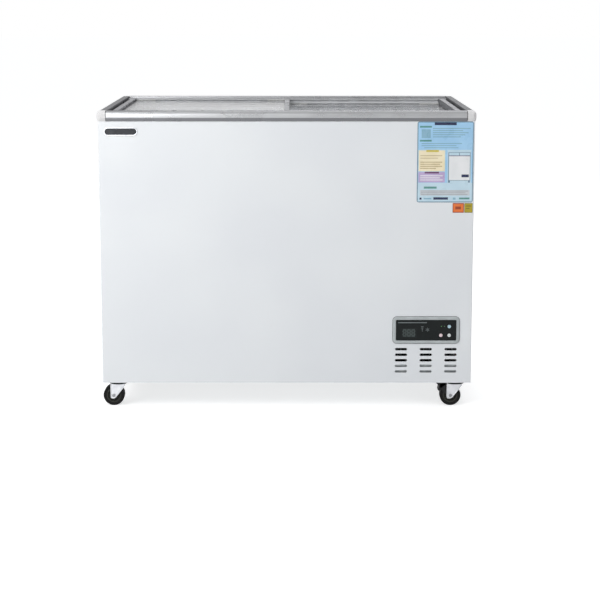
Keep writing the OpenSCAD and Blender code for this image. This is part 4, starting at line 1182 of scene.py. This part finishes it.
def make_screws():
    """One screw near each corner of the grille."""
    low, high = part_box("rear_grille")
    edge, head_t, depth = 7 * MM, 2 * MM, 8 * MM
    first = Vector((low.x + edge, high.y, low.z + edge))
    across, up = X * (high.x - low.x - 2 * edge), Z * (high.z - low.z - 2 * edge)
    head = round_bar("screw", first, Y, 0, head_t, 4 * MM, 32)
    bevel(head, 1.3 * MM, 4, at(Y, high.y + head_t))
    shank = round_bar("screw_shank", first, Y, -depth, 0, 2 * MM, 16)
    return row_of([head, shank], [up, across, across + up])


def make_bolts():
    """Four bolts through each caster plate."""
    out, foot, seat, top = 20.5 * MM, 72.5 * MM, 75 * MM, 85 * MM
    places = [swivel_foot(corner) + X * dx + Y * dy
              for corner in CORNERS for dx in (-out, out) for dy in (-out, out)]
    first = places[0]
    head = round_bar("bolt", first, Z, foot, seat, 5 * MM, 6)
    bevel(head, 0.4 * MM, 2, at(Z, foot))
    shank = round_bar("bolt_shank", first, Z, seat, top, 3 * MM, 16)
    return row_of([head, shank], [place - first for place in places[1:]])


class FREEZER_OT_fasteners(bpy.types.Operator):
    """Pan head screws on the grille, hexagon bolts under the caster plates, the plates and the gland."""

    bl_idname = "freezer.fasteners"
    bl_label = "Fasteners"

    def execute(self, context):
        fixings = smooth(joined("screws_and_bolts", make_screws() + make_bolts()))
        dress(fixings, "cabinet", "zinc_steel", "zinc", replaces=("fasteners",))
        plates = softened("caster_plates", "caster_top_plates", 0.6 * MM)
        dress(plates, "cabinet", "zinc_steel", "zinc", replaces=("caster_plates",))
        gland = softened("cord_gland", "lead_gland", 0.8 * MM)
        dress(gland, "cabinet", "dark_plastic", "dark", replaces=("cord_gland",))
        return {"FINISHED"}


def make_floor():
    """Matt white floor: seen directly it is lifted to white, and the object's shadow still darkens it."""
    deselect()
    bpy.ops.mesh.primitive_circle_add(vertices=96, radius=40, fill_type="NGON")
    floor = bpy.context.object
    floor.name = floor.data.name = "studio_floor"
    paper = Finish("Studio floor paper", "#d6d6d6", 0.9, **{
        "Emission Color": (1, 1, 1, 1), "Specular IOR Level": 0.0,
    })
    paper.gloss(paper.patches(400), 0.85, 0.95)
    lift = node(paper.tree, "Math", {0: seen(paper.tree), 1: 0.62}, operation="MULTIPLY")
    paper.tree.links.new(lift.outputs[0], paper.shader.inputs["Emission Strength"])
    floor.data.materials.append(paper.material)


def make_backdrop(scene):
    """Soft light from all round, and plain white where the backdrop itself is seen."""
    world = scene.world = bpy.data.worlds.new("studio")
    world.use_nodes = True
    tree = world.node_tree
    tree.nodes.clear()
    soft = node(tree, "Background", {"Color": (0.97, 0.98, 1.0, 1.0), "Strength": 0.575})
    white = node(tree, "Background", {"Color": (1, 1, 1, 1), "Strength": 1.0})
    mixed = node(tree, "MixShader", {0: seen(tree), 1: soft.outputs[0], 2: white.outputs[0]})
    node(tree, "OutputWorld", {"Surface": mixed.outputs[0]})


def seen(tree):
    """1 for the rays that show the backdrop: straight, in a reflection or through glass."""
    ray = node(tree, "LightPath").outputs
    either = node(tree, "Math", {0: ray["Is Camera Ray"], 1: ray["Is Glossy Ray"]}, operation="MAXIMUM")
    sockets = {0: either.outputs[0], 1: ray["Is Transmission Ray"]}
    return node(tree, "Math", sockets, operation="MAXIMUM").outputs[0]


def make_lights():
    """A key from the left, a weak fill, a back light, and two cards for the bright end of the rim."""
    for name, place, aim, wide, tall, power in (
        ("key_light", (-2.2, -2.4, 2.2), (-0.2, -0.3, 0.5), 1.6, 1.6, 61),
        ("fill_light", (2.8, -3.4, 1.6), (0.2, 0.0, 0.4), 2.4, 2.4, 10),
        ("back_light", (0.4, 2.6, 3.4), (0.0, 0.2, 0.5), 2.2, 2.2, 40),
        ("rim_card", (-1.2, -3.3, 1.25), (-0.4, -0.34, 0.86), 1.1, 2.4, 40),
        ("rim_card_high", (-1.4, -2.2, 3.16), (-0.5, -0.34, 0.86), 0.8, 2.0, 18),
    ):
        deselect()
        bpy.ops.object.light_add(type="AREA", location=place)
        lamp = bpy.context.object
        lamp.name = name
        lamp.data.shape = "RECTANGLE"
        lamp.data.energy, lamp.data.size, lamp.data.size_y = power, wide, tall
        lamp.visible_camera = False
        # The cards are only seen in reflections
        lamp.visible_diffuse = not name.startswith("rim_card")
        lamp.rotation_euler = (Vector(aim) - Vector(place)).to_track_quat("-Z", "Y").to_euler()


def make_camera(scene):
    """A long lens, a little above the rim."""
    deselect()
    bpy.ops.object.camera_add(location=(0.0178, -4.75, 1.2076), rotation=(math.radians(81.393), 0, 0))
    scene.camera = bpy.context.object
    lens = scene.camera.data
    lens.lens, lens.sensor_width = 92.67, 36.0
    lens.shift_x, lens.shift_y = 0.012, -0.12
    lens.dof.use_dof = False


class FREEZER_OT_stage(bpy.types.Operator):
    """Pale floor, soft studio lights and the camera at the photograph's angle."""

    bl_idname = "freezer.stage"
    bl_label = "Stage"

    def execute(self, context):
        context.scene.view_settings.view_transform = "Standard"
        make_floor()
        make_backdrop(context.scene)
        make_lights()
        make_camera(context.scene)
        return {"FINISHED"}


class FREEZER_PT_panel(bpy.types.Panel):
    """Lists the freezer's settings and steps."""

    bl_idname = "FREEZER_PT_panel"
    bl_label = "Display freezer"
    bl_space_type = "VIEW_3D"
    bl_region_type = "UI"
    bl_category = "Freezer"

    def draw(self, context):
        for group in (context.scene.freezer_colours, context.scene.freezer_sizes):
            for name in group.__annotations__:
                self.layout.prop(group, name)
        for step in STEPS:
            self.layout.operator(step.bl_idname)


STEPS = (
    FREEZER_OT_finishes, FREEZER_OT_rim, FREEZER_OT_lids, FREEZER_OT_bezel, FREEZER_OT_control_face,
    FREEZER_OT_bay_upstand, FREEZER_OT_buttons, FREEZER_OT_badge, FREEZER_OT_labels, FREEZER_OT_casters,
    FREEZER_OT_brake, FREEZER_OT_louvres, FREEZER_OT_fasteners, FREEZER_OT_stage,
)
CLASSES = (FreezerColours, FreezerSizes) + STEPS + (FREEZER_PT_panel,)


def register():
    for kind in CLASSES:
        bpy.utils.register_class(kind)
    bpy.types.Scene.freezer_colours = bpy.props.PointerProperty(type=FreezerColours)
    bpy.types.Scene.freezer_sizes = bpy.props.PointerProperty(type=FreezerSizes)


def unregister():
    del bpy.types.Scene.freezer_colours, bpy.types.Scene.freezer_sizes
    for kind in reversed(CLASSES):
        bpy.utils.unregister_class(kind)


def main():
    """Registers the add-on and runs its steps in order."""
    register()
    for step in STEPS:
        group, name = step.bl_idname.split(".")
        getattr(getattr(bpy.ops, group), name)()
    deselect()


if __name__ == "__main__":
    main()
